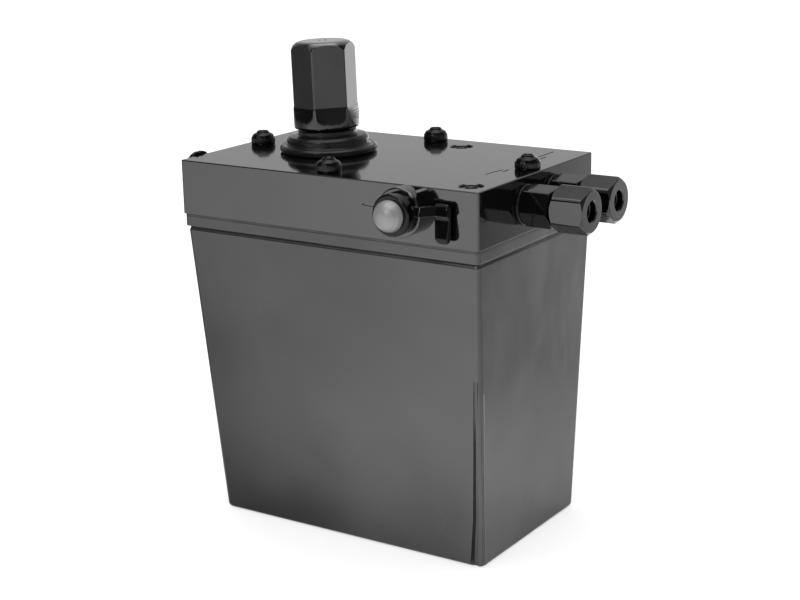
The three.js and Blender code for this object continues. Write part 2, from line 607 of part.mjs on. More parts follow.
// The domed nut that holds the handle on the spool's threaded end.
function selectorDomeNut() {
  const { radius, base, crown, bore } = DOME_NUT;
  const outline = [
    [0, crown], [2.6, crown + 0.4], [4.6, crown + 1.6], [5.8, crown + 3.2], [radius, crown + 4.8],
    [radius, base], [bore, base], [bore, STUB.threadEnd - 0.2], [0, STUB.threadEnd - 0.2],
  ];
  return lathe(outline, "y", [SELECTOR.x, 0, SELECTOR.z], FINE);
}

function selectorRollPin() {
  return bar("z", 0.95, SELECTOR.z - 8, SELECTOR.z + 8, [SELECTOR.x, HUB.inner - 2.5], 12);
}

// ---- tube fittings ----
const FITTING = { seal: HALF_L + 1.5, hexEnd: HALF_L + 14.2, nose: HALF_L + 24 };
FITTING.nutStart = HALF_L + 15;
FITTING.nutFace = HALF_L + 29.6;
const TUBE_HOLE = 4.1;

function portAdapter(y) {
  const at = [y, PORT.z];
  const stub = PORT.thread - GAP;
  const profile = [
    [2.6, HALF_L - PORT.depth + 0.5], [stub, HALF_L - PORT.depth + 0.5], [stub, FITTING.seal + 1],
    [6.85, FITTING.seal + 1], [6.85, FITTING.nose - 0.8], [6.2, FITTING.nose], [5.6, FITTING.nose],
    [4.2, FITTING.nose - 5], [4.2, HALF_L + 12], [2.6, HALF_L + 12],
  ];
  const body = lathe(profile, "x", [0, ...at]);
  const collar = chamferedHexagon(ADAPTER_ACROSS_FLATS, FITTING.seal + 0.1, FITTING.hexEnd, at, 0.8);
  return join(body, cut(collar, bar("x", 5, HALF_L - 5, HALF_L + 20, at)));
}

// A hexagon along X whose corners are turned off at both ends.
function chamferedHexagon(acrossFlats, from, to, at, chamfer) {
  const corner = acrossFlats / 2 / Math.cos(Math.PI / 6);
  const bare = acrossFlats / 2 - 0.3;
  const turned = [
    [0, from], [bare, from], [corner + 0.1, from + chamfer], [corner + 0.1, to - chamfer],
    [bare, to], [0, to],
  ];
  const prism = hexagon("x", acrossFlats, from - 1, to + 1, at, THREE.MathUtils.degToRad(10));
  return prism.intersect(lathe(turned, "x", [0, ...at], FINE));
}

function portSeal(y) {
  const profile = [[5.1, HALF_L + 0.05], [8.2, HALF_L + 0.05], [8.2, FITTING.seal], [5.1, FITTING.seal]];
  return lathe(profile, "x", [0, y, PORT.z]);
}

function tubeNut(y) {
  const at = [y, PORT.z];
  const body = chamferedHexagon(NUT_ACROSS_FLATS, FITTING.nutStart, FITTING.nutFace, at, 1.6);
  const inside = [
    [0, FITTING.nutStart - 1], [7, FITTING.nutStart - 1], [7, FITTING.nose + 1.2],
    [TUBE_HOLE, FITTING.nose + 4], [TUBE_HOLE, FITTING.nutFace + 1], [0, FITTING.nutFace + 1],
  ];
  return cut(body, lathe(inside, "x", [0, ...at], 24));
}

function cuttingRing(y) {
  const start = FITTING.nose + 0.15;
  const profile = [
    [TUBE_HOLE, start], [5.4, start], [5.4, start + 1.4], [4.6, start + 2.4], [TUBE_HOLE, start + 2.4],
  ];
  return lathe(profile, "x", [0, y, PORT.z]);
}

// ---- assembly ----
add("reservoir", reservoir(), moulded);
add("reservoir_gasket", gasket(), rubber);
add("manifold_block", manifoldBlock(), paint);
for (const [side, spot] of Object.entries(SCREW_SPOTS)) {
  add(`tank_screw_${side}`, tankScrew(spot), blackSteel);
}
add("relief_plug", flushPlug(RELIEF_SPOT), blackSteel);
add("gallery_plug", flushPlug(GALLERY_SPOT), blackSteel);
add("filler_plug", fillerPlug(), blackSteel);
add("filler_seal", fillerSeal(), rubber);

add("pump_lever", pumpLever(), blackSteel);
add("lever_bush", leverBush(), brass);
add("lever_boot", leverBoot(), rubber);
add("pivot_pin", pivotPin(), steel);
add("pivot_pin_plug", pivotPinPlug(), blackSteel);

add("pump_body", pumpBody(), steel);
PUMP_SCREWS.forEach((spot, i) => add(`pump_screw_${i + 1}`, pumpScrew(spot), blackSteel));
add("plunger", plunger(), steel);
add("plunger_seal", ring(7.2, 0.95, "x", [SEAL.x, 0, PLUNGER_Z]), rubber);
add("face_seal", ring(6.2, 0.75, "z", [VALVE.x, 0, PUMP.z1 - 0.75]), rubber);
add("suction_fitting", suctionFitting(), steel);
add("suction_tube", suctionTube(), steel);
add("suction_strainer", suctionStrainer(), gauze);
add("suction_ball", restingBall(VALVE.ball, VALVE.passage, VALVE.suctionSeat, [VALVE.x, 0]), steel);
add("suction_stop_pin", bar("y", 0.9, -PUMP.half + 0.5, PUMP.half - 0.5, [VALVE.x, 117.5], 12), steel);
add("delivery_ball", restingBall(VALVE.ball, VALVE.passage, VALVE.deliverySeat, [VALVE.x, 0]), steel);
add("delivery_spring", deliverySpring(), steel);
add("relief_ball", restingBall(RELIEF.ball, RELIEF.passage, RELIEF.seat, RELIEF_SPOT), steel);
add("relief_spring", reliefSpring(), steel);

add("selector_spool", selectorSpool(), steel);
add("selector_seal", selectorSeal(), rubber);
add("selector_stop_pin", selectorStopPin(), steel);
add("selector_lever", selectorLever(), blackSteel);
add("selector_dome_nut", selectorDomeNut(), steel);
add("selector_roll_pin", selectorRollPin(), steel);

for (const [side, y] of Object.entries({ front: PORT.front, rear: PORT.rear })) {
  add(`port_adapter_${side}`, portAdapter(y), blackSteel);
  add(`port_seal_${side}`, portSeal(y), rubber);
  add(`tube_nut_${side}`, tubeNut(y), blackSteel);
  add(`cutting_ring_${side}`, cuttingRing(y), steel);
}

export default unit;
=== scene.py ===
import json
import math

import bmesh
import bpy
from mathutils import Matrix, Vector


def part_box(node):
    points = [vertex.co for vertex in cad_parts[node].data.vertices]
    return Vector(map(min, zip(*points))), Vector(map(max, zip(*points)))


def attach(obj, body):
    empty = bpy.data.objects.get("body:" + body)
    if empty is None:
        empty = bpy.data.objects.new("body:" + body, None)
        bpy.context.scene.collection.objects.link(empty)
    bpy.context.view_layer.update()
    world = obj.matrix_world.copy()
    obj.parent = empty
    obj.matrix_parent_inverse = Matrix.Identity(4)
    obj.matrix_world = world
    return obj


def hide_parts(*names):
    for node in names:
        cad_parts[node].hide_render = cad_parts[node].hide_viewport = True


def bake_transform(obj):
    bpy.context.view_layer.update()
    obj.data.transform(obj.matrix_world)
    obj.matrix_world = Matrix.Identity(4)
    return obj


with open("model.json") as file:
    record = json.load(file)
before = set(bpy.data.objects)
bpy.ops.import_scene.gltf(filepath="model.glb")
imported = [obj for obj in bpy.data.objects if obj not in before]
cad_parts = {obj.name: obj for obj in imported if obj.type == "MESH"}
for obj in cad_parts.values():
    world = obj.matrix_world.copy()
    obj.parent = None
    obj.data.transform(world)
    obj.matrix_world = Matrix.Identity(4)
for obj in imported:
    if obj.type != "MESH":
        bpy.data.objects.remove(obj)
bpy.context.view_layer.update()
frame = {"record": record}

MM = 0.001
SEGMENTS = 96


def box(node):
    lo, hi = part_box(node)
    return [c / MM for c in lo], [c / MM for c in hi]


def mid(node):
    lo, hi = box(node)
    return [(a + b) / 2 for a, b in zip(lo, hi)]


def plan(node):
    """A node's middle as seen from above, at height zero."""
    x, y, _ = mid(node)
    return x, y, 0


def end_on(node):
    """A node's middle as seen along x, at x = 0."""
    _, y, z = mid(node)
    return 0, y, z


def span(node, axis):
    """A node's two ends along an axis."""
    return [corner["xyz".index(axis)] for corner in box(node)]


# ---- places taken from the frame ----
BLOCK_LO, BLOCK_HI = box("manifold_block")
TANK_HI = box("reservoir")[1]
TOP = BLOCK_HI[2]
BOTTOM = BLOCK_LO[2]
HALF_L = BLOCK_HI[0]
HALF_W = BLOCK_HI[1]
RIM_TOP = TANK_HI[2]
RIM_BOTTOM = RIM_TOP - 4.3
TAPER_TOP = RIM_TOP - 6  # where the taper reaches TANK_TOP
PIVOT = [mid("pivot_pin")[0], 0, mid("pivot_pin")[2]]
AXLE = [mid("selector_seal")[0], 0, mid("selector_seal")[2]]
SCREWS = ["tank_screw_left", "tank_screw_right", "tank_screw_front", "tank_screw_rear"]
PLUGS = ["relief_plug", "gallery_plug"]
PUMP_SCREWS = [f"pump_screw_{i}" for i in range(1, 5)]
SIDES = ["front", "rear"]
M6_SHANK = 2.95
M6_HOLE = 3.2
PIN_HOLE = 1.05  # the selector's roll pin
PLUNGER_BORE = 6.15
LEVER_BOSS = 8.5  # half the width of the lever's eye
LEAN_ANGLE = math.radians(-1.6)
LEAN = Matrix.Rotation(LEAN_ANGLE, 4, "Y")


# ---- outlines and profiles ----
def arc(centre, radius, start, finish, steps):
    turn = [start + (finish - start) * i / steps for i in range(steps + 1)]
    return [(centre[0] + radius * math.cos(a), centre[1] + radius * math.sin(a)) for a in turn]


def soften(points, closed, steps=5):
    """Points (a, b) or (a, b, radius), where a corner with a radius becomes an arc."""
    out = []
    last = len(points) - 1
    for i, point in enumerate(points):
        radius = point[2] if len(point) > 2 else 0
        if radius <= 0 or (not closed and i in (0, last)):
            out.append((point[0], point[1]))
            continue
        corner = Vector(point[:2])
        before = Vector(points[i - 1][:2]) - corner
        after = Vector(points[(i + 1) % len(points)][:2]) - corner
        u, v = before.normalized(), after.normalized()
        half = u.angle(v) / 2
        cut = min(radius / math.tan(half), 0.49 * before.length, 0.49 * after.length)
        radius = cut * math.tan(half)
        centre = corner + (u + v).normalized() * (radius / math.sin(half))
        a0 = math.atan2(*reversed(corner + u * cut - centre))
        a1 = math.atan2(*reversed(corner + v * cut - centre))
        turn = (a1 - a0 + math.pi) % (2 * math.pi) - math.pi
        out += arc(centre, radius, a0, a0 + turn, steps)
    return out


def rounded_rectangle(half_x, half_y, radius, centre=0.0, steps=8):
    radius = max(radius, 0.05)
    x, y = half_x - radius, half_y - radius
    corners = [(centre + x, y, 0), (centre - x, y, 1), (centre - x, -y, 2), (centre + x, -y, 3)]
    quarter = math.pi / 2
    out = []
    for cx, cy, i in corners:
        out += arc((cx, cy), radius, i * quarter, (i + 1) * quarter, steps)
    return out


def hexagon(across_flats, first_corner, radius=0.0):
    """A hexagon whose corners are rounded. first_corner is an angle in degrees."""
    reach = across_flats / 2 / math.cos(math.pi / 6)
    angles = [math.radians(first_corner + 60 * i) for i in range(6)]
    points = [(reach * math.cos(a), reach * math.sin(a), radius) for a in angles]
    return soften(points, True, 4)


def rounding(radius, steps):
    """(rise, inset) from the foot of a rounded lower edge to its side."""
    turns = [math.pi / 2 * i / steps for i in range(steps + 1)]
    return [(radius * (1 - math.cos(a)), radius * (1 - math.sin(a))) for a in turns]


# ---- meshes ----
def aim(axis):
    if axis == "x":
        return Matrix.Rotation(math.pi / 2, 4, "Y")
    if axis == "y":
        return Matrix.Rotation(-math.pi / 2, 4, "X")
    return Matrix.Identity(4)


def build(name, points, faces, place=None):
    """An object from points in millimetres, with its faces turned outwards."""
    mesh = bpy.data.meshes.new(name)
    mesh.from_pydata([Vector(p) * MM for p in points], [], faces)
    work = bmesh.new()
    work.from_mesh(mesh)
    bmesh.ops.remove_doubles(work, verts=work.verts, dist=1e-7)
    bmesh.ops.recalc_face_normals(work, faces=work.faces)
    work.to_mesh(mesh)
    work.free()
    made = bpy.data.objects.new(name, mesh)
    bpy.context.scene.collection.objects.link(made)
    if place is not None:
        mesh.transform(place)
    return made


def shift(x, y, z):
    return Matrix.Translation(Vector((x, y, z)) * MM)


def stack(name, rings, place=None, loop=False):
    """A solid through rings of equal point counts. A one-point ring closes to a tip, and loop joins the last
    ring to the first."""
    points, faces, starts = [], [], []
    for ring in rings:
        starts.append(len(points))
        points += ring
    pairs = list(zip(range(len(rings)), range(1, len(rings))))
    if loop:
        pairs.append((len(rings) - 1, 0))
    for a, b in pairs:
        na, nb = len(rings[a]), len(rings[b])
        count = max(na, nb)
        for i in range(count):
            j = (i + 1) % count
            corners = [starts[a] + i % na, starts[a] + j % na, starts[b] + j % nb, starts[b] + i % nb]
            faces.append(list(dict.fromkeys(corners)))
    if not loop:
        for k in (0, len(rings) - 1):
            if len(rings[k]) > 1:
                faces.append([starts[k] + i for i in range(len(rings[k]))])
    return build(name, points, faces, place)


def lathe(name, profile, axis="z", at=(0, 0, 0), segments=SEGMENTS, steps=5, ripple=None):
    """A profile of (radius, height) or (radius, height, fillet) turned about an axis through `at`."""
    closed = profile[0][0] > 0
    rings = []
    for r, h in soften(profile, closed, steps):
        if r < 1e-6:
            rings.append([(0, 0, h)])
            continue
        ring = []
        for i in range(segments):
            a = 2 * math.pi * i / segments
            wide = r + (ripple(r, h, a) if ripple else 0)
            ring.append((wide * math.cos(a), wide * math.sin(a), h))
        rings.append(ring)
    return stack(name, rings, shift(*at) @ aim(axis), loop=closed)


def rod(name, radius, start, finish, axis="z", at=(0, 0, 0), edge=0.0, segments=SEGMENTS):
    profile = [(0, start), (radius, start, edge), (radius, finish, edge), (0, finish)]
    return lathe(name, profile, axis, at, segments)


def tube(name, inner, outer, start, finish, axis="z", at=(0, 0, 0), edges=(0.2, 0.2), segments=64):
    """A sleeve or washer; edges are the roundings of its inner and outer corners."""
    a, b = edges
    profile = [(inner, start, a), (outer, start, b), (outer, finish, b), (inner, finish, a)]
    return lathe(name, profile, axis, at, segments)


def slab(name, outline, low, high, edge=0.0, place=None, steps=4, foot=None):
    """A plate between two heights. outline(inset) gives its outline. Its edges are rounded by `edge`, or the
    lower one by `foot` if that is given."""
    foot = edge if foot is None else foot

    def level(z, inset):
        return [(x, y, z) for x, y in outline(inset)]
    below = [level(low + rise, inset) for rise, inset in rounding(foot, steps)]
    above = [level(high - drop, inset) for drop, inset in reversed(rounding(edge, steps))]
    if foot <= 0:
        below = below[-1:]
    if edge <= 0:
        above = above[:1]
    return stack(name, below + above, place)


def hex_slab(name, across_flats, low, high, axis="z", at=(0, 0, 0), corner=-90, radius=0.0, edge=0.0):
    def outline(inset):
        return hexagon(across_flats - 2 * inset, corner, max(radius - inset, 0))
    return slab(name, outline, low, high, edge, shift(*at) @ aim(axis))


def combine(target, tools, operation="DIFFERENCE"):
    """Applies each tool to the target as an exact boolean, and removes the tools."""
    for tool in tools:
        step = target.modifiers.new("step", "BOOLEAN")
        step.operation = operation
        step.solver = "EXACT"
        step.object = tool
    graph = bpy.context.evaluated_depsgraph_get()
    graph.update()
    made = bpy.data.meshes.new_from_object(target.evaluated_get(graph))
    target.modifiers.clear()
    old = target.data
    target.data = made
    bpy.data.meshes.remove(old)
    for tool in tools:
        spare = tool.data
        bpy.data.objects.remove(tool)
        bpy.data.meshes.remove(spare)
    return target


def cut(target, *tools):
    return combine(target, tools)


def join(target, *tools):
    return combine(target, tools, "UNION")


def common(target, *tools):
    return combine(target, tools, "INTERSECT")


def lean(piece):
    """Swings a piece made upright to the angle at which the lever rests."""
    pivot = Vector(PIVOT) * MM
    piece.data.transform(Matrix.Translation(pivot) @ LEAN @ Matrix.Translation(-pivot))
    return piece


def clean(piece, angle=32):
    """Merges stray points and sets smooth shading with crisp edges."""
    work = bmesh.new()
    work.from_mesh(piece.data)
    bmesh.ops.remove_doubles(work, verts=work.verts, dist=2e-6)
    bmesh.ops.dissolve_degenerate(work, edges=work.edges, dist=2e-6)
    work.to_mesh(piece.data)
    work.free()
    piece.data.shade_smooth()
    piece.data.set_sharp_from_angle(angle=math.radians(angle))
    weigh = piece.modifiers.new("weigh", "WEIGHTED_NORMAL")
    weigh.keep_sharp = True
    weigh.weight = 60


# ---- materials ----
class Nodes:
    """The node tree of a material or a world, cleared."""

    def __init__(self, owner):
        owner.use_nodes = True
        self.tree = owner.node_tree
        self.tree.nodes.clear()

    def feed(self, socket, value):
        if isinstance(value, bpy.types.NodeSocket):
            self.tree.links.new(value, socket)
        elif value is not None:
            socket.default_value = value

    def node(self, kind, settings=None, **inputs):
        made = self.tree.nodes.new("ShaderNode" + kind)
        for key, value in (settings or {}).items():
            setattr(made, key, value)
        for key, value in inputs.items():
            self.feed(made.inputs[key.replace("_", " ")], value)
        return made

    def spread(self, value, low, high, to_low, to_high, kind="LINEAR"):
        made = self.node("MapRange", {"interpolation_type": kind}, Value=value)
        for i, number in enumerate((low, high, to_low, to_high)):
            made.inputs[i + 1].default_value = number
        return made.outputs["Result"]

    def mix(self, share, a, b):
        made = self.node("Mix", {"data_type": "RGBA"})
        self.feed(made.inputs[0], share)
        self.feed(made.inputs[6], (*a, 1) if isinstance(a, tuple) else a)
        self.feed(made.inputs[7], (*b, 1) if isinstance(b, tuple) else b)
        return made.outputs[2]

    def math(self, operation, a, b):
        made = self.node("Math", {"operation": operation})
        self.feed(made.inputs[0], a)
        self.feed(made.inputs[1], b)
        return made.outputs[0]


class Shader(Nodes):
    """A node material. Its texture space is the part's own frame, in metres."""

    def __init__(self, name):
        self.material = bpy.data.materials.new(name)
        super().__init__(self.material)
        self.surface = self.node("BsdfPrincipled")
        self.out = self.node("OutputMaterial")
        self.feed(self.out.inputs["Surface"], self.surface.outputs["BSDF"])
        self.place = self.node("TexCoord").outputs["Object"]

    def noise(self, scale, detail=3.0, rough=0.5, stretch=(1, 1, 1), move=(0, 0, 0)):
        placed = self.node("Mapping", Vector=self.place, Scale=stretch, Location=move)
        made = self.node("TexNoise", Vector=placed.outputs[0], Scale=scale, Detail=detail, Roughness=rough)
        return made.outputs["Fac"]

    def edges(self, radius):
        """1 on the part's convex and concave edges, 0 elsewhere."""
        rounded = self.node("Bevel", {"samples": 4}, Radius=radius * MM).outputs[0]
        plain = self.node("NewGeometry").outputs["Normal"]
        made = self.node("VectorMath", {"operation": "DOT_PRODUCT"})
        self.feed(made.inputs[0], rounded)
        self.feed(made.inputs[1], plain)
        return self.spread(made.outputs["Value"], 0.995, 0.80, 0.0, 1.0)

    def wear_and_sheen(self, tone, bare, radius, scale, *patches):
        """The tone, rubbed through to a bare one in patches along the edges. The paler edges are partly real
        wear and partly a painted highlight for the bright glints along edges.
        """
        rubbed_and_sheen = self.math("MULTIPLY", self.edges(radius), self.spread(self.noise(scale, 4, 0.6), *patches))
        return self.mix(rubbed_and_sheen, tone, bare)

    def bump(self, height, depth, strength=1.0, under=None):
        made = self.node("Bump", Height=height, Distance=depth * MM, Strength=strength)
        self.feed(made.inputs["Normal"], under)
        return made.outputs["Normal"]

    def finish(self, color, roughness, metallic=0.0, normal=None, **more):
        self.feed(self.surface.inputs["Base Color"], (*color, 1) if isinstance(color, tuple) else color)
        self.feed(self.surface.inputs["Roughness"], roughness)
        self.feed(self.surface.inputs["Metallic"], metallic)
        self.feed(self.surface.inputs["Normal"], normal)
        for key, value in more.items():
            self.feed(self.surface.inputs[key.replace("_", " ")], value)
        return self.material


CROWN_SHEEN = 1.2  # how far down its sides the lever's top is painted paler, a painted highlight


def block_paint():
    """Black-grey gloss coat on a machined block: mirror-like, faint orange peel, thin worn edges that are
    partly a painted highlight.
    """
    s = Shader("block_paint")
    cloud = s.noise(28, 4, 0.55)
    tone = s.mix(cloud, (0.128, 0.128, 0.131), (0.148, 0.147, 0.149))
    color = s.wear_and_sheen(tone, (0.34, 0.34, 0.35), 0.4, 160, 0.42, 0.62, 0.0, 0.6)
    rough = s.spread(cloud, 0.3, 0.7, 0.06, 0.13)
    normal = s.bump(s.noise(420, 2, 0.5), 0.02, 0.12)
    normal = s.bump(s.noise(40, 2, 0.5), 0.2, 0.15, normal)
    return s.finish(color, rough, 0.99, normal)


def tank_paint(name="tank_paint", shade=1.0):
    """Semi-gloss dark tank: soft clouds and waves, fine grain, rubbed edges that are partly a painted
    highlight, and painted shade low on its left for the shadowed floor it would mirror there.
    """
    s = Shader(name)
    cloud = s.noise(9, 3, 0.5)
    low, high = (tuple(c * shade for c in tone) for tone in ((0.104, 0.103, 0.105), (0.146, 0.145, 0.147)))
    tone = s.mix(s.spread(cloud, 0.3, 0.7, 0.0, 1.0), low, high)
    # Painted shade: the tone darkens towards the lower left, for a floor shadow mirrored in the tank.
    slant = s.node("VectorMath", {"operation": "DOT_PRODUCT"})
    s.feed(slant.inputs[0], s.place)
    slant.inputs[1].default_value = (4.0, 0.0, 6.0)
    ragged = s.spread(s.noise(14, 3, 0.5, move=(3, 1, 2)), 0.3, 0.7, -0.12, 0.12)
    painted_shade = s.spread(s.math("ADD", slant.outputs["Value"], ragged), -0.3, 0.62, 0.9, 0.0, "SMOOTHSTEP")
    tone = s.mix(painted_shade, tone, (0.02, 0.02, 0.02))
    color = s.wear_and_sheen(tone, (0.24, 0.24, 0.25), 0.6, 140, 0.45, 0.65, 0.0, 0.5)
    rough = s.spread(s.noise(20, 3, 0.5), 0.3, 0.7, 0.18, 0.30)
    normal = s.bump(s.noise(600, 3, 0.55), 0.015, 0.15)
    normal = s.bump(s.noise(36, 2, 0.5, (1, 1, 0.6)), 0.9, 0.3, normal)
    return s.finish(color, rough, 0.88, normal)


def black_steel(name="black_steel", shade=1.0, crown=None):
    """Black-plated steel: dark mirror-like metal, brighter on rubbed edges that are partly a painted
    highlight, and painted paler near a crown's height as a painted highlight of the top rim.
    """
    s = Shader(name)
    cloud = s.noise(70, 3, 0.55)
    low, high = (tuple(c * shade for c in tone) for tone in ((0.070, 0.070, 0.072), (0.092, 0.092, 0.094)))
    tone = s.mix(cloud, low, high)
    color = s.wear_and_sheen(tone, (0.42, 0.42, 0.43), 0.4, 260, 0.35, 0.6, 0.1, 0.8)
    if crown:
        # Painted highlight: the base colour turns paler just below the crown's height, for the bright rim at
        # the lever's top.
        height = s.node("SeparateXYZ", Vector=s.place).outputs["Z"]
        rubbed_and_sheen = s.spread(height, (crown - CROWN_SHEEN) * MM, crown * MM, 0.0, 1.0)
        color = s.mix(rubbed_and_sheen, color, (0.28, 0.28, 0.285))
    rough = s.spread(cloud, 0.3, 0.7, 0.06, 0.14)
    normal = s.bump(s.noise(900, 3, 0.6), 0.008, 0.12)
    return s.finish(color, rough, 0.99, normal)


def black_oxide():
    """Black-oxide fasteners and handle: darker than the plated lever."""
    s = Shader("black_oxide")
    cloud = s.noise(150, 3, 0.55)
    tone = s.mix(cloud, (0.028, 0.028, 0.030), (0.046, 0.046, 0.048))
    # Paler edges: partly wear, partly a painted highlight.
    color = s.wear_and_sheen(tone, (0.30, 0.30, 0.31), 0.3, 300, 0.4, 0.62, 0.05, 0.7)
    rough = s.spread(cloud, 0.3, 0.7, 0.10, 0.2)
    normal = s.bump(s.noise(1100, 3, 0.6), 0.008, 0.15)
    return s.finish(color, rough, 0.98, normal)


def pale_alloy():
    """Dull blasted alloy of the selector's dome nut."""
    s = Shader("pale_alloy")
    cloud = s.noise(180, 4, 0.6)
    color = s.mix(cloud, (0.27, 0.27, 0.272), (0.34, 0.34, 0.342))
    rough = s.spread(cloud, 0.3, 0.7, 0.38, 0.5)
    return s.finish(color, rough, 0.6, s.bump(s.noise(1500, 3, 0.6), 0.02, 0.3))


def steel(name="steel", tone=(0.52, 0.53, 0.54), rough=0.24):
    """Ground steel: fine turning marks and faint stains."""
    s = Shader(name)
    cloud = s.noise(120, 4, 0.6)
    dim = tuple(c * 0.78 for c in tone)
    color = s.mix(cloud, dim, tone)
    grain = s.noise(2600, 2, 0.5, (1, 1, 0.06))
    roughness = s.spread(cloud, 0.3, 0.7, rough - 0.05, rough + 0.1)
    return s.finish(color, roughness, 1.0, s.bump(grain, 0.012, 0.3))


def bronze():
    s = Shader("bush_bronze")
    cloud = s.noise(240, 4, 0.6)
    color = s.mix(cloud, (0.40, 0.27, 0.10), (0.62, 0.45, 0.19))
    rough = s.spread(cloud, 0.3, 0.7, 0.3, 0.45)
    return s.finish(color, rough, 1.0, s.bump(s.noise(1800, 2, 0.5), 0.015, 0.3))


def rubber():
    """Black oil-resistant rubber: glossy, with a faint bloom and moulding grain."""
    s = Shader("rubber")
    cloud = s.noise(120, 3, 0.55)
    color = s.mix(cloud, (0.004, 0.004, 0.0045), (0.009, 0.009, 0.0095))
    rough = s.spread(cloud, 0.3, 0.7, 0.14, 0.26)
    normal = s.bump(s.noise(900, 3, 0.6), 0.012, 0.15)
    return s.finish(color, rough, 0.0, normal, Specular_IOR_Level=0.35)


SEAM = tank_paint("painted_seam", 0.75)
PLATED = black_steel()
NUT = black_steel("nut_steel", 1.4)
LEVER_TOP = TOP + 47
LEVER = black_steel("lever_steel", 1.0, LEVER_TOP)
SATIN = pale_alloy()
SLOTS = {
    "block_paint": block_paint(), "tank": tank_paint(), "black_steel": black_oxide(), "steel": steel(),
    "bush_bronze": bronze(),
    "gauze": steel("gauze", (0.55, 0.56, 0.57), 0.42), "rubber": rubber(),
}
NODE_SLOT = {part["node"]: part["material_slot"] for part in frame["record"]["subparts"]}
NODE_BODY = {n: b for b, members in frame["record"]["behaviour"]["bodies"].items() for n in members}


def dress(piece, material):
    piece.data.materials.clear()
    piece.data.materials.append(material)
    for face in piece.data.polygons:
        face.material_index = 0


def stand_for(piece, node, material=None, rides=True):
    """Finishes a piece that replaces one CAD node: shading, material, slot and body."""
    clean(piece)
    dress(piece, material or SLOTS[NODE_SLOT[node]])
    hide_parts(node)
    if rides:
        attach(piece, NODE_BODY[node])
    return piece


# ---- tank ----
TANK_TOP = {"x": 71.7, "y": 46.6, "r": 2.0, "c": 0.5}
TANK_FOOT = {"x": 66.1, "y": 39.8, "r": 3.2, "c": 2.9}
FOOT_ROUND = 1.8
WALL = 3.0
FLOOR = 4.0


def tank_size(z):
    share = z / TAPER_TOP
    return {key: TANK_FOOT[key] + (TANK_TOP[key] - TANK_FOOT[key]) * share for key in "xyrc"}


def tank_ring(z, inset):
    """The tank's outline at height z, drawn in by inset."""
    size = tank_size(z)
    outline = rounded_rectangle(size["x"] - inset, size["y"] - inset, max(size["r"] - inset, 1.0), size["c"])
    return [(x, y, z) for x, y in outline]


def rim_ring(z, inset):
    outline = rounded_rectangle(TANK_HI[0] - inset, TANK_HI[1] - inset, max(2.2 - inset, 0.8))
    return [(x, y, z) for x, y in outline]


def tank_outside():
    rings = [tank_ring(rise, inset) for rise, inset in rounding(FOOT_ROUND, 6)]
    rings += [tank_ring(z, 0) for z in range(12, int(RIM_BOTTOM) - 2, 9)]
    for drop, inset in ((2.0, 0), (1.6, 0.1), (1.3, 0.28), (1.0, 0.5), (0.5, 0.75), (0.05, 0.8)):
        rings.append(tank_ring(RIM_BOTTOM - drop, inset))
    rings += [rim_ring(RIM_BOTTOM, 0.45), rim_ring(RIM_BOTTOM + 0.1, 0.3), rim_ring(RIM_BOTTOM + 0.4, 0.2)]
    rings += [rim_ring(RIM_TOP - 0.15, 0.2), rim_ring(RIM_TOP - 0.05, 0.23), rim_ring(RIM_TOP, 0.3)]
    return rings


def tank_inside():
    rings = [tank_ring(RIM_TOP, WALL - 0.4), tank_ring(RIM_TOP - 0.4, WALL)]
    rings += [tank_ring(z, WALL) for z in range(118, 7, -11)]
    rings += [tank_ring(FLOOR + rise, WALL + inset) for rise, inset in reversed(rounding(2.5, 4))]
    return rings


BEAD = {"low": 1.6, "high": 80.0, "radius": 2.3, "proud": 0.35}


def bead_spot(z):
    """The centre (x, y) of the bead down the front right corner, at height z."""
    size = tank_size(z)
    out = (size["r"] + BEAD["proud"] - BEAD["radius"]) * math.sqrt(0.5)
    return Vector((size["c"] + size["x"] - size["r"] + out, -size["y"] + size["r"] - out))


def corner_bead():
    low, high = (Vector((*bead_spot(z), z)) for z in (BEAD["low"], BEAD["high"]))
    along = high - low
    reach, r = along.length, BEAD["radius"]
    profile = [(0, 0), (r, 0, 1.2), (r, reach - 5), (r - 0.7, reach, 0.8), (0, reach + 0.6)]
    piece = lathe("bead", profile, segments=64)
    turn = Vector((0, 0, 1)).rotation_difference(along).to_matrix().to_4x4()
    piece.data.transform(Matrix.Translation(low * MM) @ turn)
    return piece


# The grooves' depth and half width at some heights. Their sections are in shares of those two.
FRONT_GROOVE = [(-1, 65.0, 1.9, 1.9), (3, 65.2, 1.9, 1.8), (21, 66.7, 1.6, 1.5), (52, 67.9, 1.2, 1.25),
                (80, 68.9, 0.8, 1.1), (82.5, 69.0, -0.3, 0.6)]
FRONT_SECTION = [(-1, -1), (-0.85, 0.3), (-0.45, 0.9), (0, 1), (0.45, 0.9), (0.85, 0.3), (1, -1)]
CREST_GROOVE = [(-1, 0.5, 0.75), (52, 0.4, 0.65), (79, -0.2, 0.4)]


def bead_grooves():
    """Tapering grooves along the bead: a deep one on the front face, and a fine one down the bead's crest."""
    front = []
    for z, x, depth, half in FRONT_GROOVE:
        lip = -tank_size(z)["y"]
        front.append([(x + a * half, lip + (depth * b if b > 0 else b), z) for a, b in FRONT_SECTION])
    crest = []
    along, out = Vector((0.42, 0.91)).normalized(), Vector((0.91, -0.42)).normalized()
    for z, depth, half in CREST_GROOVE:
        spot = bead_spot(z) + out * BEAD["radius"]
        ring = []
        for a, b in ((-1, -1), (-0.6, 0.5), (0, 1), (0.6, 0.5), (1, -1)):
            point = spot + along * (a * half) - out * (depth * b if b > 0 else b)
            ring.append((point.x, point.y, z))
        crest.append(ring)
    return [stack("front_groove", front), stack("crest_groove", crest)]


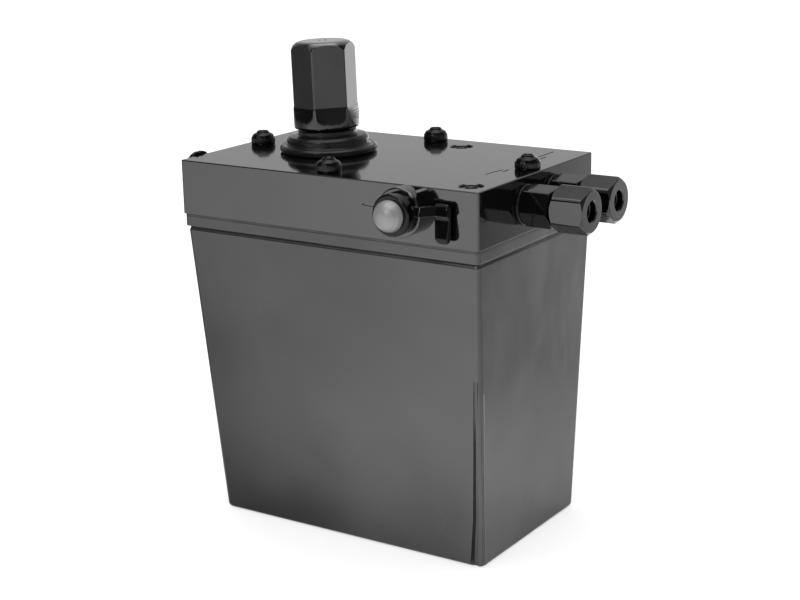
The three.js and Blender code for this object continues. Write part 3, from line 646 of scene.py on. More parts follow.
def make_reservoir():
    shell = stack("tank_shell", tank_outside() + tank_inside())
    solid = stack("whole", tank_outside())
    bosses, holes = [], []
    for node in SCREWS:
        bosses.append(rod("boss", 7, RIM_TOP - 24, RIM_TOP - 0.02, at=plan(node), edge=0.3, segments=48))
        holes.append(rod("hole", M6_HOLE, RIM_TOP - 18, RIM_TOP + 1, at=plan(node), segments=48))
    pads = common(join(bosses[0], *bosses[1:]), solid)
    join(shell, pads, corner_bead())
    cut(shell, *holes, *bead_grooves())
    stand_for(shell, "reservoir")


def make_gasket():
    def outer(inset):
        return rounded_rectangle(HALF_L - 0.3 - inset, HALF_W - 0.3 - inset, 2)
    sheet = slab("tank_gasket", outer, RIM_TOP + 0.05, BOTTOM - 0.05, 0.12, steps=2)
    opening = slab("opening", lambda _: rounded_rectangle(HALF_L - 5, HALF_W - 5, 3), RIM_TOP - 1, BOTTOM + 1)
    ears, holes = [], []
    for node in SCREWS:
        ears.append(rod("ear", 6.5, RIM_TOP - 2, BOTTOM + 2, at=plan(node), segments=48))
        holes.append(rod("hole", M6_HOLE + 0.1, RIM_TOP - 2, BOTTOM + 2, at=plan(node), segments=48))
    cut(sheet, cut(opening, *ears), *holes)
    stand_for(sheet, "reservoir_gasket", SEAM)


# ---- manifold block ----
def drill(radius, start, finish, axis, at, mouth=0.0):
    """A drill tool that ends in a small countersink at `finish`, the side where it leaves the block."""
    over = 1.0 if finish > start else -1.0
    end = finish + over * (mouth or 1.0)
    profile = [(0, start), (radius, start), (radius + mouth * 2, end), (0, end)]
    if mouth:
        profile.insert(2, (radius, finish - over * mouth))
    return lathe("drill", profile, axis, at, 64)


def groove(start, finish, width, depth, front=False):
    """A thin engraved line between two points of the top face (x, y), or of the front face (x, z)."""
    run = Vector(finish) - Vector(start)
    centre = (Vector(start) + Vector(finish)) / 2
    outline = rounded_rectangle(run.length / 2 + width / 2, width / 2, width / 2.1, steps=3)
    turn = Matrix.Rotation(math.atan2(run.y, run.x), 4, "Z")
    place = shift(centre.x, centre.y, TOP) @ turn
    if front:
        place = shift(centre.x, -HALF_W, centre.y) @ Matrix.Rotation(math.pi / 2, 4, "X") @ turn
    return slab("groove", lambda _: outline, -depth, depth, 0, place)


# Engraved lines on the top face, from one point (x, y) to another.
MARKS = [((57.2, -15), (58.4, -4.2)), ((60.5, -7), (60.5, -3)), ((58, 23), (58, 40)),
         ((60.8, 19), (60.8, 28))]
PLUG_SEAT = 149.0  # height of the flush plugs' lower ends


def make_block():
    def outline(inset):
        return rounded_rectangle(HALF_L - inset, HALF_W - inset, 1.0 - inset)
    block = slab("block", outline, BOTTOM, TOP, 0.5, steps=5, foot=0.2)
    face = BLOCK_LO[1]
    boss_radius = TOP - AXLE[2]
    boss = lathe("boss", [(0, face), (boss_radius, face, 0.7), (boss_radius, -HALF_W + 4), (0, -HALF_W + 4)],
                 "y", AXLE, 128)
    join(block, boss)
    tools = [
        drill(15, BOTTOM - 1, TOP, "z", (PIVOT[0], 0, 0), 0.5),
        drill(5.1, -24, HALF_W, "y", PIVOT),
        drill(7.1, HALF_W - 10, HALF_W, "y", PIVOT, 0.5),
        drill(6, 18, face, "y", AXLE, 0.4),
    ]
    tools += [drill(M6_HOLE, BOTTOM - 1, TOP, "z", plan(node), 0.3) for node in SCREWS]
    tools += [drill(4.8, PLUG_SEAT, TOP, "z", plan(node), 0.45) for node in PLUGS]
    tools.append(drill(6.65, -HALF_L + 20, -HALF_L, "x", end_on("filler_seal"), 0.4))
    for side in SIDES:
        port = end_on(f"port_seal_{side}")
        tools.append(drill(4.95, HALF_L - 12, HALF_L, "x", port, 0.5))
        tools.append(drill(2.5, AXLE[0], HALF_L - 11.5, "x", port))
    tools += [drill(M6_HOLE, BOTTOM + 11, BOTTOM, "z", plan(node), 0.3) for node in PUMP_SCREWS]
    delivery, relief = plan("delivery_spring"), plan("relief_plug")
    tools += [
        drill(4.4, 147, BOTTOM, "z", delivery, 0.3),
        drill(2.5, delivery[0], AXLE[0], "x", (0, 0, 144.5)),
        drill(3.6, 140.5, PLUG_SEAT + 0.5, "z", relief),
        drill(1.5, 137, 140, "z", relief),
        drill(2.5, BOTTOM - 1, PLUG_SEAT, "z", plan("gallery_plug")),
        drill(1.65, BOTTOM - 1, AXLE[2] - 5, "z", plan("selector_stop_pin")),
    ]
    tools += [groove(start, finish, 0.8, 0.25) for start, finish in MARKS]
    index = ((AXLE[0] - 20.5, AXLE[2] + 0.3), (AXLE[0] - 12, AXLE[2] - 0.2))
    tools.append(groove(*index, 1.0, 0.5, front=True))
    for tool in tools:
        cut(block, tool)
    stand_for(block, "manifold_block")


# ---- fasteners and plugs ----
def sink(piece, flats, start, finish, mouth, axis="z", at=(0, 0, 0), corner=-90, segments=48):
    """Cuts a hexagon socket, and its mouth: a cone between two points (radius, height)."""
    (inner, low), (outer, high) = mouth
    socket = hex_slab("socket", flats, start, finish, axis, at, corner)
    cut(piece, socket, lathe("cone", [(0, low), (inner, low), (outer, high), (0, high)], axis, at, segments))


def make_tank_screw(node):
    x, y, _ = mid(node)
    end = span(node, "z")[0] - TOP
    shank = [(0, end), (2.5, end), (M6_SHANK, end + 0.6), (M6_SHANK, 0.05, 0.1)]
    head = [(5.15, 0.05, 0.2), (5.3, 0.9, 0.3), (5.2, 2.8, 0.8), (4.3, 4.3, 1.2), (2.8, 5.0, 0.6),
            (2.4, 5.75, 0.4), (0, 5.8)]

    def knurl(r, h, a):
        return -0.09 * (1 - abs(math.cos(24 * a))) if r > 5.1 and 0.6 < h < 3 else 0
    at = (x, y, TOP)
    screw = lathe(node.replace("tank", "block"), shank + head, at=at, segments=192, ripple=knurl)
    sink(screw, 3.2, 3.6, 7, ((1.7, 5.2), (2.5, 6.2)), at=at, corner=-70)
    stand_for(screw, node)


def make_flush_plug(node, name, corner):
    (end, top), at = span(node, "z"), plan(node)
    plug = lathe(name, [(0, end), (4.2, end), (4.6, end + 0.5), (4.6, top, 0.5), (0, top)], at=at)
    sink(plug, 4.2, top - 3.5, top + 1, ((2.2, top - 0.5), (3.2, top + 0.5)), at=at, corner=corner)
    stand_for(plug, node)


def make_filler():
    start = span("filler_plug", "x")[0]
    _, y, z = mid("filler_plug")

    def grip(r, h, a):
        return -0.35 * max(0.0, math.cos(12 * a)) ** 4 if r > 10.3 and h < 2.2 else 0
    profile = [(0, 0.25), (7.4, 0.25, 0.4), (8.2, 0, 0.3), (9.9, 0, 0.4), (10.5, 0.6, 0.4), (10.5, 2, 0.3),
               (10, 2.3), (6.5, 2.3), (6.5, 16.4), (6, 17), (0, 17)]
    plug = lathe("filler_cap", profile, "x", (start, y, z), 192, ripple=grip)
    sink(plug, 8, -1, 5, ((5.3, -0.2), (4.4, 0.9)), "x", (start, y, z), -80, 64)
    stand_for(plug, "filler_plug")
    stand_for(tube("filler_washer", 6.8, 9, *span("filler_seal", "x"), "x", (0, y, z)), "filler_seal")


# ---- lever, boot and pivot ----
BAR = 14.0  # radius of the round bar that the hexagon is cut from
HEX = 24.2
HEX_CORNER = -75
NECK = 9.0
TIP = 5.0  # radius of the round tip that drives the plunger
TIP_HALF = 3.9


def make_lever():
    """A round bar with six flats that run out above its collar, on a neck, an eye and a round-tipped arm."""
    spot = (PIVOT[0], 0, 0)
    collar, flare, foot, top = TOP + 10.3, TOP + 12.3, TOP + 20, LEVER_TOP
    crown = [(0, collar), (BAR - 0.1, collar, 0.6), (BAR, collar + 1.0), (BAR, top - 4, 1.5),
             (BAR - 1.2, top - 1.6, 1.2), (BAR - 2.8, top - 0.4, 1.2), (BAR - 4.4, top, 1.0), (0, top)]
    round_bar = lathe("lever", crown, at=spot, segments=192)
    flats = hex_slab("flats", HEX, foot, top + 1, at=spot, corner=HEX_CORNER, radius=1.1)
    wide = 2 * BAR + 1
    rings = []
    for i in range(9):
        share = i / 8
        flats_here = wide + (HEX - wide) * (1 - (1 - share) ** 1.25)
        outline = hexagon(flats_here, HEX_CORNER, 1.1)
        rings.append([(x, y, flare + (foot + 0.01 - flare) * share) for x, y in outline])
    run_out = stack("run_out", rings, shift(*spot))
    base = rod("base", BAR + 1, collar - 1, flare + 0.01, at=spot)
    lever = common(round_bar, join(flats, run_out, base))
    neck = rod("neck", NECK, PIVOT[2], collar + 1, at=spot)
    eye = rod("eye", 9.5, -LEVER_BOSS, LEVER_BOSS, "y", PIVOT, 0.6)
    tip_z = span("pump_lever", "z")[0] + TIP
    arm_points = [(-2.2, tip_z), (2.2, tip_z), (2.2, tip_z + 10, 3), (7, PIVOT[2]), (-7, PIVOT[2]),
                  (-2.2, tip_z + 10, 3)]
    arm_outline = soften(arm_points, True, 4)
    arm = stack("arm", [[(x + PIVOT[0], y, z) for x, z in arm_outline] for y in (-TIP_HALF, TIP_HALF)])
    tip = rod("tip", TIP, -TIP_HALF, TIP_HALF, "y", (PIVOT[0], 0, tip_z), 0.5)
    join(lever, neck, eye, arm, tip)
    cut(lever, rod("bore", 6.55, -10, 10, "y", PIVOT))
    dimple = [(0, top - 1.6), (1.0, top - 0.9), (2.6, top + 0.6), (0, top + 0.6)]
    cut(lever, lathe("dimple", dimple, at=spot, segments=48))
    stand_for(lean(lever), "pump_lever", LEVER)


LEAN_FROM = 3.2  # height above the block at which the boot starts to lean with the lever
LEAN_OVER = 3.6


def make_boot():
    """A hollow boot: a wide foot on the block, one fold and a sleeve that hugs the lever's neck."""
    grip = NECK + 0.12
    profile = [
        (grip, 9.8, 0.2), (grip, 6.4), (10.9, 6.2, 0.4), (14.3, 5.6, 0.8), (15, 2), (16.4, 0.06, 0.3),
        (19.9, 0.06, 0.4), (20.8, 0.9, 0.6), (20.8, 2.3, 0.9), (19.8, 3.2, 0.8), (18.2, 3.0, 0.5),
        (17.6, 3.8, 0.5), (17.6, 5.8, 1.1), (16.6, 7.0, 0.9), (14.2, 7.4, 0.9), (12.7, 7.5, 0.5),
        (12.6, 9.4, 0.5),
    ]
    boot = lathe("boot", profile, at=(PIVOT[0], 0, TOP), segments=144, steps=6)
    pivot = Vector(PIVOT) * MM
    for v in boot.data.vertices:
        share = min(max((v.co.z / MM - TOP - LEAN_FROM) / LEAN_OVER, 0), 1)
        share = share * share * (3 - 2 * share)
        v.co = pivot + Matrix.Rotation(LEAN_ANGLE * share, 3, "Y") @ (v.co - pivot)
    stand_for(boot, "lever_boot", rides=False)
    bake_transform(boot)


def make_pivot_plug():
    inner, outer = span("pivot_pin_plug", "y")
    profile = [(0, inner), (6.4, inner), (6.9, inner + 0.6), (6.9, outer, 0.5), (0, outer)]
    plug = lathe("pin_plug", profile, "y", PIVOT)
    sink(plug, 6, outer - 4, outer + 1, ((3.1, outer - 0.7), (4.4, outer + 0.6)), "y", PIVOT, -75)
    stand_for(plug, "pivot_pin_plug")


# ---- selector ----
def shrink(points, inset):
    """A closed outline, counter-clockwise, drawn in by inset."""
    out = []
    for i, point in enumerate(points):
        here = Vector(point)
        u = (here - Vector(points[i - 1])).normalized()
        v = (Vector(points[(i + 1) % len(points)]) - here).normalized()
        normal = Vector((-u.y - v.y, u.x + v.x))
        out.append(here + normal * (inset / (1 + u.dot(v))))
    return out


HANDLE = {"thick": 3.4, "high": 3.8, "stand": 1.5, "bend": 10.4, "step": 4.2, "outer_bend": 1.4, "lean": 0.34}
HUB = 8.4
TAB_WIDTH = 6.9
# The tab's levels: height, how far left and right are drawn in, how far front and rear stand off its back.
SHOULDER = [(-0.5, 0, 0, 1.9, 0), (0, 0, 0, 3.3, 0), (0.4, 0, 0, 3.4, 0), (3.6, 0.1, 0, 2.5, 0),
            (4.5, 0.5, 0.4, 2.0, 0.2), (4.8, 1.2, 1.0, 1.6, 0.6)]
FINGER_ROOT = [(-1.8, 0.15, 0, 1.9, 0), (-1.2, 0.1, 0, 1.8, 0)]
FINGER_END = [(0, 2.6, 1.0, 2.5, 0.9), (0.5, 1.8, 0.4, 3.1, 0.3), (1.6, 1.2, 0.15, 3.5, 0),
              (2.4, 1.0, 0.1, 3.4, 0)]


def crank(inner, reach):
    """The handle's arm: straight beside the hub, then cranked back to the block. Its front leans back."""
    back, bend, far = -HALF_W - HANDLE["stand"], HANDLE["bend"], HANDLE["bend"] + HANDLE["step"]
    high, end = HANDLE["high"], reach - 0.6
    rings = []
    for z, inset in ((0, 0.35), (0.1, 0.1), (0.35, 0), (high - 0.35, 0), (high - 0.1, 0.1), (high, 0.35)):
        thick, turn = HANDLE["thick"] - HANDLE["lean"] * z, HANDLE["outer_bend"]
        points = [(0, inner - thick), (bend + turn, inner - thick, 2), (far + turn, back - thick, 2),
                  (end, back - thick, 0.6), (end, back, 0.6), (far, back, 2), (bend, inner, 2), (0, inner)]
        outline = shrink(soften(points, True, 4), inset)
        rings.append([(AXLE[0] + x, y, AXLE[2] + z) for x, y in outline])
    return stack("arm", rings)


def thumb_tab(reach, low):
    """The tab at the arm's end: a shoulder as thick as the arm over a thinner, tapering finger."""
    back = -HALF_W - HANDLE["stand"]
    levels = [(low + z, *rest) for z, *rest in FINGER_END] + FINGER_ROOT + SHOULDER
    rings = []
    for z, left, right, front, rear in levels:
        x0, x1, y0, y1 = reach - TAB_WIDTH + left, reach - right, back - front, back - rear
        outline = rounded_rectangle((x1 - x0) / 2, (y1 - y0) / 2, min(0.9, (y1 - y0) / 2.1), steps=4)
        rings.append([(AXLE[0] + (x0 + x1) / 2 + x, (y0 + y1) / 2 + y, AXLE[2] + z) for x, y in outline])
    return stack("tab", rings)


def make_selector():
    lo, hi = box("selector_lever")
    crown, base = span("selector_dome_nut", "y")
    face, inner = base + 0.1, BLOCK_LO[1] - 0.3
    hub = [(0, face), (HUB, face, 0.9), (HUB, inner, 0.4), (0, inner)]
    handle = lathe("selector_handle", hub, "y", AXLE, 128)
    reach = hi[0] - AXLE[0]
    arm, tab = crank(inner, reach), thumb_tab(reach, lo[2] - AXLE[2])
    join(handle, arm, tab)
    cut(handle, rod("bore", 4.1, face - 1, inner + 1, "y", AXLE, segments=64))
    roll = mid("selector_roll_pin")
    cut(handle, rod("pin_hole", PIN_HOLE, -9, 9, "z", roll, segments=32))
    stand_for(handle, "selector_lever")

    profile = [(0, crown), (2.6, crown + 0.4, 2), (4.6, crown + 1.6, 2), (5.85, crown + 3.3, 2),
               (6.3, crown + 5, 1), (6.3, base, 0.3), (3.15, base), (3.15, base - 3.6), (0, base - 3.6)]
    nut = lathe("selector_cap", profile, "y", AXLE, 128)
    stand_for(nut, "selector_dome_nut", SATIN)
    low, high = span("selector_roll_pin", "z")
    roll_pin = rod("selector_pin", 0.95, low, high, at=plan("selector_roll_pin"), edge=0.2, segments=32)
    stand_for(roll_pin, "selector_roll_pin")


# ---- inside: pivot, pump, valves and spool ----
def pin(node, name, axis, edge):
    """A plain round pin of a node's own size, with eased ends."""
    lo, hi = box(node)
    i = "xyz".index(axis)
    radius = (hi[i - 1] - lo[i - 1]) / 2
    at = [0 if k == i else c for k, c in enumerate(mid(node))]
    stand_for(rod(name, radius, lo[i], hi[i], axis, at, edge, 48), node)


def o_ring(node, name, axis):
    lo, hi = box(node)
    i = "xyz".index(axis)
    minor = (hi[i] - lo[i]) / 2
    major = (hi[i - 1] - lo[i - 1]) / 2 - minor
    stand_for(lathe(name, arc((major, 0), minor, 0, 2 * math.pi, 20)[:-1], axis, mid(node), 64), node)


def ball(node, name):
    low, high = span(node, "z")
    radius = (high - low) / 2
    half = arc((0, 0), radius, -math.pi / 2, math.pi / 2, 24)
    profile = [(0, -radius)] + half[1:-1] + [(0, radius)]
    stand_for(lathe(name, profile, "z", mid(node), 48), node)


def coil(node, name, radius, wire, turns):
    """A compression spring with closed ends. It is squeezed between its ball and its fixed upper end."""
    low, high = span(node, "z")
    x, y, _ = mid(node)
    per_turn, closed = 32, 2.1 * wire
    open_rise = high - low - 2 * wire - 2 * closed
    rings = []
    for i in range(per_turn * (turns + 2) + 1):
        done = i / per_turn
        rise = closed * (min(done, 1) + max(done - turns - 1, 0))
        rise += open_rise * min(max(done - 1, 0) / turns, 1)
        a = 2 * math.pi * done
        ring = []
        for u, v in arc((radius, low + wire + rise), wire, 0, 2 * math.pi, 12)[:-1]:
            ring.append((x + u * math.cos(a), y + u * math.sin(a), v))
        rings.append(ring)
    spring = stand_for(stack(name, rings), node, rides=False)
    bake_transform(spring)


SUCTION_SEAT = 109.0  # height of the shoulder that the suction fitting screws up to
DELIVERY_SEAT = 127.0


def make_pump_body():
    """The pump housing: a bore across it for the plunger, and one down it for the valves and the fitting."""
    lo, hi = box("pump_body")
    x, z = mid("delivery_ball")[0], mid("plunger_seal")[2]
    centre, long, seal = (lo[0] + hi[0]) / 2, (hi[0] - lo[0]) / 2, mid("plunger_seal")[0]

    def outline(inset):
        return rounded_rectangle(long - inset, hi[1] - inset, 2.5 - inset, centre)
    body = slab("pump_housing", outline, lo[2], hi[2], 0.3, foot=0.8)
    at, along = (x, 0, 0), (0, 0, z)
    tools = [
        drill(PLUNGER_BORE, 27, lo[0], "x", along, 0.4),
        rod("groove", 8.35, seal - 1.25, seal + 1.25, "x", along),
        drill(6.15, SUCTION_SEAT, lo[2], "z", at, 0.3),
        rod("chamber", 4.3, SUCTION_SEAT - 1, z, at=at),
        rod("passage", 2.3, z, DELIVERY_SEAT + 1, at=at),
        drill(4.3, DELIVERY_SEAT, hi[2], "z", at),
        tube("ring", 5, 7.4, hi[2] - 1.5, hi[2] + 1, at=at, edges=(0, 0), segments=SEGMENTS),
        rod("stop", 1, -hi[1] - 1, hi[1] + 1, "y", (x, 0, mid("suction_stop_pin")[2]), segments=32),
    ]
    for node in PUMP_SCREWS:
        tools.append(rod("hole", M6_HOLE, lo[2] - 1, hi[2] + 1, at=plan(node), segments=48))
    for tool in tools:
        cut(body, tool)
    stand_for(body, "pump_body")


def make_pump_screw(node, name):
    low, high = span(node, "z")
    seat = low + 5.9
    profile = [(0, low), (5, low, 0.8), (5, seat, 0.2), (M6_SHANK, seat, 0.2), (M6_SHANK, high - 0.6),
               (2.4, high), (0, high)]
    screw = lathe(name, profile, at=plan(node))
    cut(screw, hex_slab("socket", 5, low - 1, low + 3, at=plan(node)))
    stand_for(screw, node)


def make_plunger():
    start, end = span("plunger", "x")
    height = mid("plunger_seal")[2]
    eye, head, along = start + 9.5, span("plunger", "z")[1] - height, (0, 0, height)
    profile = [(0, start), (head, start, 0.8), (head, eye + 7.4, 0.5), (6, eye + 7.4, 0.3), (6, end - 0.9),
               (5.2, end, 0.3), (0, end)]
    body = lathe("pump_plunger", profile, "x", along)
    slot = slab("slot", lambda inset: rounded_rectangle(5.2, 4.2, 1.0, eye), -10, 10, 0, shift(*along))
    stand_for(cut(body, slot), "plunger")


def make_suction():
    """The suction fitting, its tube, and a strainer cup with three rows of twelve slots."""
    at = plan("suction_tube")
    low, seat = span("suction_fitting", "z")
    profile = [(3.7, low, 0.2), (6, low, 0.3), (6, seat, 0.2), (2.3, seat), (2.3, low + 8), (3.7, low + 8)]
    body = lathe("suction_stub", profile, at=at)
    flats = hex_slab("flats", 14, low + 2, low + 6.9, at=at, radius=0.5, edge=0.4)
    cut(flats, rod("bore", 5, low, low + 10, at=at, segments=64))
    stand_for(join(body, flats), "suction_fitting")
    pickup = tube("pickup_tube", 2.6, 3.6, *span("suction_tube", "z"), at=at, segments=48)
    stand_for(pickup, "suction_tube")
    lo, hi = box("suction_strainer")
    low, top, wide, wall = lo[2], hi[2], (hi[0] - lo[0]) / 2, 1.2
    profile = [(0, low), (wide, low, 1.5), (wide, top, 1.5), (3.8, top, 0.2), (3.8, top - wall),
               (wide - wall, top - wall, 0.5), (wide - wall, low + wall, 0.5), (0, low + wall)]
    cup = lathe("strainer_cup", profile, at=at)
    for i in range(12):
        for z in (low + 4.5, low + 9.5, low + 14.5):
            turn = shift(at[0], 0, z) @ Matrix.Rotation(math.radians(30 * i), 4, "Z") @ aim("x")
            cut(cup, slab("slot", lambda _: rounded_rectangle(1.6, 1.2, 1.1, steps=3), 6, 14, 0, turn))
    stand_for(cup, "suction_strainer")


def make_spool():
    """The selector's shaft: drilled along its axis and across at the ports, and milled for the stop pin."""
    (end, inner), wide = span("selector_spool", "y"), 5.85
    face, stub, y = BLOCK_LO[1], span("selector_lever", "y")[0] + 0.1, mid("selector_seal")[1]
    profile = [(0, end), (3, end, 0.4), (3, stub), (4, stub, 0.3), (4, face + 0.4), (wide, face + 0.4, 0.3),
               (wide, y - 1.2), (4.4, y - 1.2, 0.3), (4.4, y + 1.2, 0.3), (wide, y + 1.2), (wide, inner, 0.5),
               (0, inner)]
    spool = lathe("rotary_spool", profile, "y", AXLE)
    tools = [rod("axial", 2, -14, inner + 1, "y", AXLE, segments=48)]
    for port in (mid("port_seal_front")[1], 0, mid("port_seal_rear")[1]):
        tools.append(rod("cross", 2, AXLE[0] - 8, AXLE[0] + 8, "x", (0, port, AXLE[2]), segments=48))
    pin_y = mid("selector_roll_pin")[1]
    tools.append(rod("pin_hole", PIN_HOLE, -9, 9, "z", (AXLE[0], pin_y, AXLE[2]), segments=32))
    margin = math.radians(24)
    first, last = -math.pi / 2 - margin, margin
    sector = arc((0, 0), 9, first, last, 32) + arc((0, 0), 4.1, last, first, 32)
    stop = mid("selector_stop_pin")[1]
    sides = [[(AXLE[0] + u, stop + v, AXLE[2] + w) for u, w in sector] for v in (-1.8, 1.8)]
    tools.append(stack("stop_slot", sides))
    for tool in tools:
        cut(spool, tool)
    stand_for(spool, "selector_spool")


def make_inside():
    half = LEVER_BOSS - 0.1
    sleeve = tube("pivot_bush", 5.15, 6.5, -half, half, "y", PIVOT, (0.3, 0.3), SEGMENTS)
    stand_for(lean(sleeve), "lever_bush")
    pin("pivot_pin", "cross_pin", "y", 0.7)
    pin("suction_stop_pin", "suction_stop", "y", 0.2)
    pin("selector_stop_pin", "selector_stop", "z", 0.3)
    for node, name, axis in (("plunger_seal", "plunger_ring", "x"), ("face_seal", "face_ring", "z"),
                             ("selector_seal", "spool_ring", "y")):
        o_ring(node, name, axis)
    for kind in ("suction", "delivery", "relief"):
        ball(f"{kind}_ball", f"{kind}_sphere")
    coil("delivery_spring", "delivery_coil", 2.6, 0.45, 4)
    coil("relief_spring", "relief_coil", 2.3, 0.5, 3)
    make_pump_body()
    for node in PUMP_SCREWS:
        make_pump_screw(node, node.replace("screw", "bolt"))
    make_plunger()
    make_suction()
    make_spool()


# ---- tube fittings ----
TUBE = 4.2  # radius of the socket for an 8 mm tube


def turned_hexagon(name, across_flats, start, finish, at, chamfer, corner, radius):
    """A hexagon bar along x whose ends are turned to a chamfer."""
    wide = across_flats / 2 / math.cos(math.pi / 6) + 0.1
    bare = across_flats / 2 - 0.3
    turned = [(0, start), (bare, start, 0.25), (wide, start + chamfer), (wide, finish - chamfer),
              (bare, finish, 0.25), (0, finish)]
    prism = hex_slab(name, across_flats, start - 1, finish + 1, "x", at, corner, radius)
    return common(prism, lathe("turned", turned, "x", at, 128))


def make_fitting(side):
    start, nose = span(f"port_adapter_{side}", "x")
    back, front = span(f"tube_nut_{side}", "x")
    low, high = span(f"port_seal_{side}", "x")
    at = end_on(f"port_seal_{side}")
    hex_start = high + 0.1
    profile = [(2.6, start), (4.3, start), (4.7, start + 0.5), (4.7, hex_start + 1), (6.85, hex_start + 1),
               (6.85, nose - 0.8), (6.2, nose, 0.2), (5.6, nose, 0.2), (TUBE, nose - 5), (TUBE, HALF_L + 12),
               (2.6, HALF_L + 12)]
    body = lathe(f"adapter_{side}", profile, "x", at)
    collar = turned_hexagon("collar", 15, hex_start, back - 0.8, at, 0.9, -80, 0.6)
    cut(collar, rod("bore", 5, HALF_L - 5, HALF_L + 20, "x", at, segments=64))
    join(body, collar)
    stand_for(body, f"port_adapter_{side}", PLATED)

    nut = turned_hexagon(f"union_nut_{side}", 17, back, front, at, 1.6, -64, 1.9)
    inside = [(0, back - 1), (7, back - 1), (7, nose + 1.2), (4.1, nose + 4), (4.1, front - 0.5),
              (4.8, front + 0.3), (0, front + 0.3)]
    cut(nut, lathe("inside", inside, "x", at))
    stand_for(nut, f"tube_nut_{side}", NUT)

    washer = tube(f"port_washer_{side}", 5.1, 8.2, low, high, "x", at, (0.2, 0.4), SEGMENTS)
    stand_for(washer, f"port_seal_{side}")
    low = span(f"cutting_ring_{side}", "x")[0]
    end = low + 2.4
    ring = [(4.1, low, 0.1), (5.4, low, 0.2), (5.4, low + 1.4, 0.2), (4.6, end, 0.2), (4.1, end, 0.1)]
    stand_for(lathe(f"ferrule_{side}", ring, "x", at, 64), f"cutting_ring_{side}")


make_reservoir()
make_gasket()
make_block()
for screw in SCREWS:
    make_tank_screw(screw)
make_flush_plug("relief_plug", "relief_cap", -60)
make_flush_plug("gallery_plug", "gallery_cap", -80)
make_filler()
make_lever()
make_boot()
make_pivot_plug()
make_selector()
make_inside()
for side in SIDES:
    make_fitting(side)


# ---- studio ----
FLOOR_SPAN = 0.6
FLOOR_FADE = (0.12, 0.27)
FLOOR_THIN = 0.45  # how much the camera sees through the floor, so that shadows stay faint


def pale_floor():
    """A round pale floor that melts into the white room at its edge."""
    s = Shader("studio_floor")
    tone = s.mix(s.noise(3, 3, 0.5), (0.86, 0.86, 0.86), (0.9, 0.9, 0.9))
    material = s.finish(tone, 0.8, Specular_IOR_Level=0.2)
    away = s.node("VectorMath", {"operation": "LENGTH"})
    s.feed(away.inputs[0], s.place)
    far = s.spread(away.outputs["Value"], *FLOOR_FADE, 0.0, 1.0)
    thin = s.math("MULTIPLY", s.node("LightPath").outputs["Is Camera Ray"], FLOOR_THIN)
    far = s.math("MAXIMUM", far, thin)
    blend = s.node("MixShader", Fac=far)
    s.feed(blend.inputs[1], s.surface.outputs["BSDF"])
    s.feed(blend.inputs[2], s.node("BsdfTransparent").outputs["BSDF"])
    s.feed(s.out.inputs["Surface"], blend.outputs[0])
    rim = [(x, y, -0.2) for x, y in arc((0, 0), FLOOR_SPAN / MM, 0, 2 * math.pi, SEGMENTS)[:-1]]
    floor = build("floor", rim, [list(range(SEGMENTS))])
    dress(floor, material)


# What a glossy surface sees around it, by direction in turns from -X, round through -Y, +X and +Y: the ground
# below the horizon, and the room's walls above it.
GROUND = [(0.0, 0.32), (0.075, 0.28), (0.11, 0.55), (0.155, 1.0), (0.25, 0.95), (0.36, 0.8), (0.41, 0.66),
          (0.5, 0.6), (0.6, 0.5), (0.665, 0.20), (0.71, 1.9), (0.8, 1.9), (0.86, 0.85), (0.93, 0.6),
          (1.0, 0.32)]
WALLS = [(0.0, 0.10), (0.1, 0.03), (0.3, 0.03), (0.37, 0.11), (0.46, 0.11), (0.55, 0.06), (0.62, 0.15),
         (0.7, 0.5), (0.8, 0.62), (0.86, 0.56), (0.93, 0.3), (1.0, 0.10)]
CEILING = 1.8
AMBIENT = 1.26


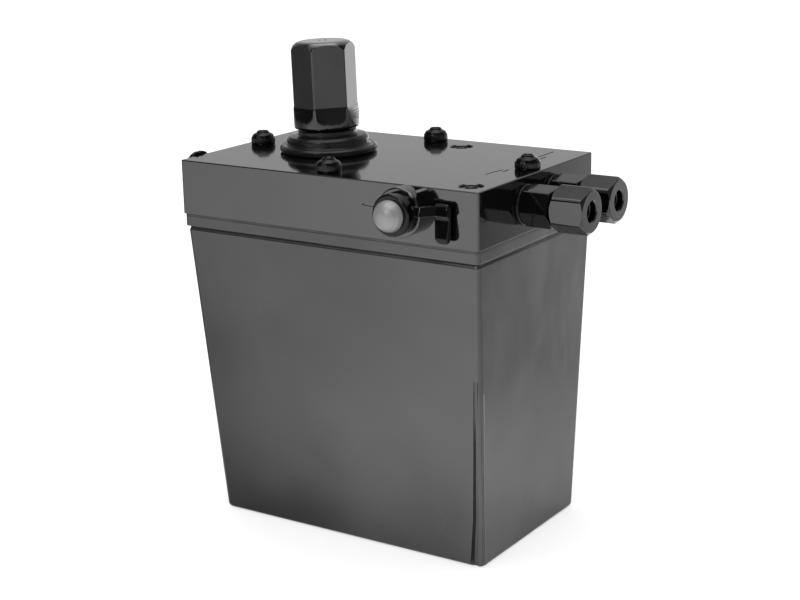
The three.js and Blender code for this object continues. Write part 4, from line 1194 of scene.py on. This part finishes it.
def studio_world():
    """White to the camera and as general light; uneven, as a real room is, in reflections."""
    world = bpy.data.worlds.new("studio")
    bpy.context.scene.world = world
    s = Nodes(world)
    x, y, z = s.node("SeparateXYZ", Vector=s.node("TexCoord").outputs["Generated"]).outputs
    turn = s.spread(s.math("ARCTAN2", y, x), -math.pi, math.pi, 0.0, 1.0)

    def ring(levels):
        made = s.node("ValToRGB", Fac=turn)
        stops = made.color_ramp.elements
        while len(stops) < len(levels):
            stops.new(0.5)
        for stop, (where, level) in zip(stops, levels):
            stop.position = where
            stop.color = (level, level, level, 1)
        return made.outputs["Color"]

    def above(low, high, under, over):
        """One look below a height, another above it."""
        return s.mix(s.spread(z, low, high, 0.0, 1.0, "SMOOTHSTEP"), under, over)
    seen = above(0.8, 0.94, above(-0.02, 0.08, ring(GROUND), ring(WALLS)), (CEILING, CEILING, CEILING))
    light = s.mix(s.node("LightPath").outputs["Is Glossy Ray"], (AMBIENT, AMBIENT, AMBIENT), seen)
    s.feed(s.node("OutputWorld").inputs["Surface"], s.node("Background", Color=light).outputs[0])


def soft_light(name, place, aim_at, size, power):
    data = bpy.data.lights.new(name, "AREA")
    data.shape = "RECTANGLE"
    data.size, data.size_y = size
    data.energy = power
    light = bpy.data.objects.new(name, data)
    light.location = place
    light.rotation_mode = "QUATERNION"
    light.rotation_quaternion = (Vector(aim_at) - Vector(place)).to_track_quat("-Z", "Y")
    bpy.context.scene.collection.objects.link(light)


EYE = (389.1, -583.4, 287.3)
VIEW = (33.33, 15.41, -1.13)  # azimuth, elevation and roll, in degrees
LENS = 76.04


def photo_camera():
    azimuth, elevation, roll = (math.radians(a) for a in VIEW)
    level = Matrix.Rotation(azimuth, 4, "Z") @ Matrix.Rotation(math.pi / 2 - elevation, 4, "X")
    data = bpy.data.cameras.new("camera")
    data.sensor_width = 36
    data.lens = LENS
    data.clip_start = 0.01
    camera = bpy.data.objects.new("camera", data)
    camera.matrix_world = shift(*EYE) @ level @ Matrix.Rotation(roll, 4, "Z")
    bpy.context.scene.collection.objects.link(camera)
    bpy.context.scene.camera = camera


pale_floor()
studio_world()
soft_light("key", (-0.5, -0.9, 1.3), (0, 0, 0.08), (0.9, 0.9), 1.5)
soft_light("strip", (0.06, -1.15, 0.85), (0, 0, 0.16), (0.16, 0.5), 2.0)
photo_camera()
bpy.context.scene.view_settings.view_transform = "Standard"
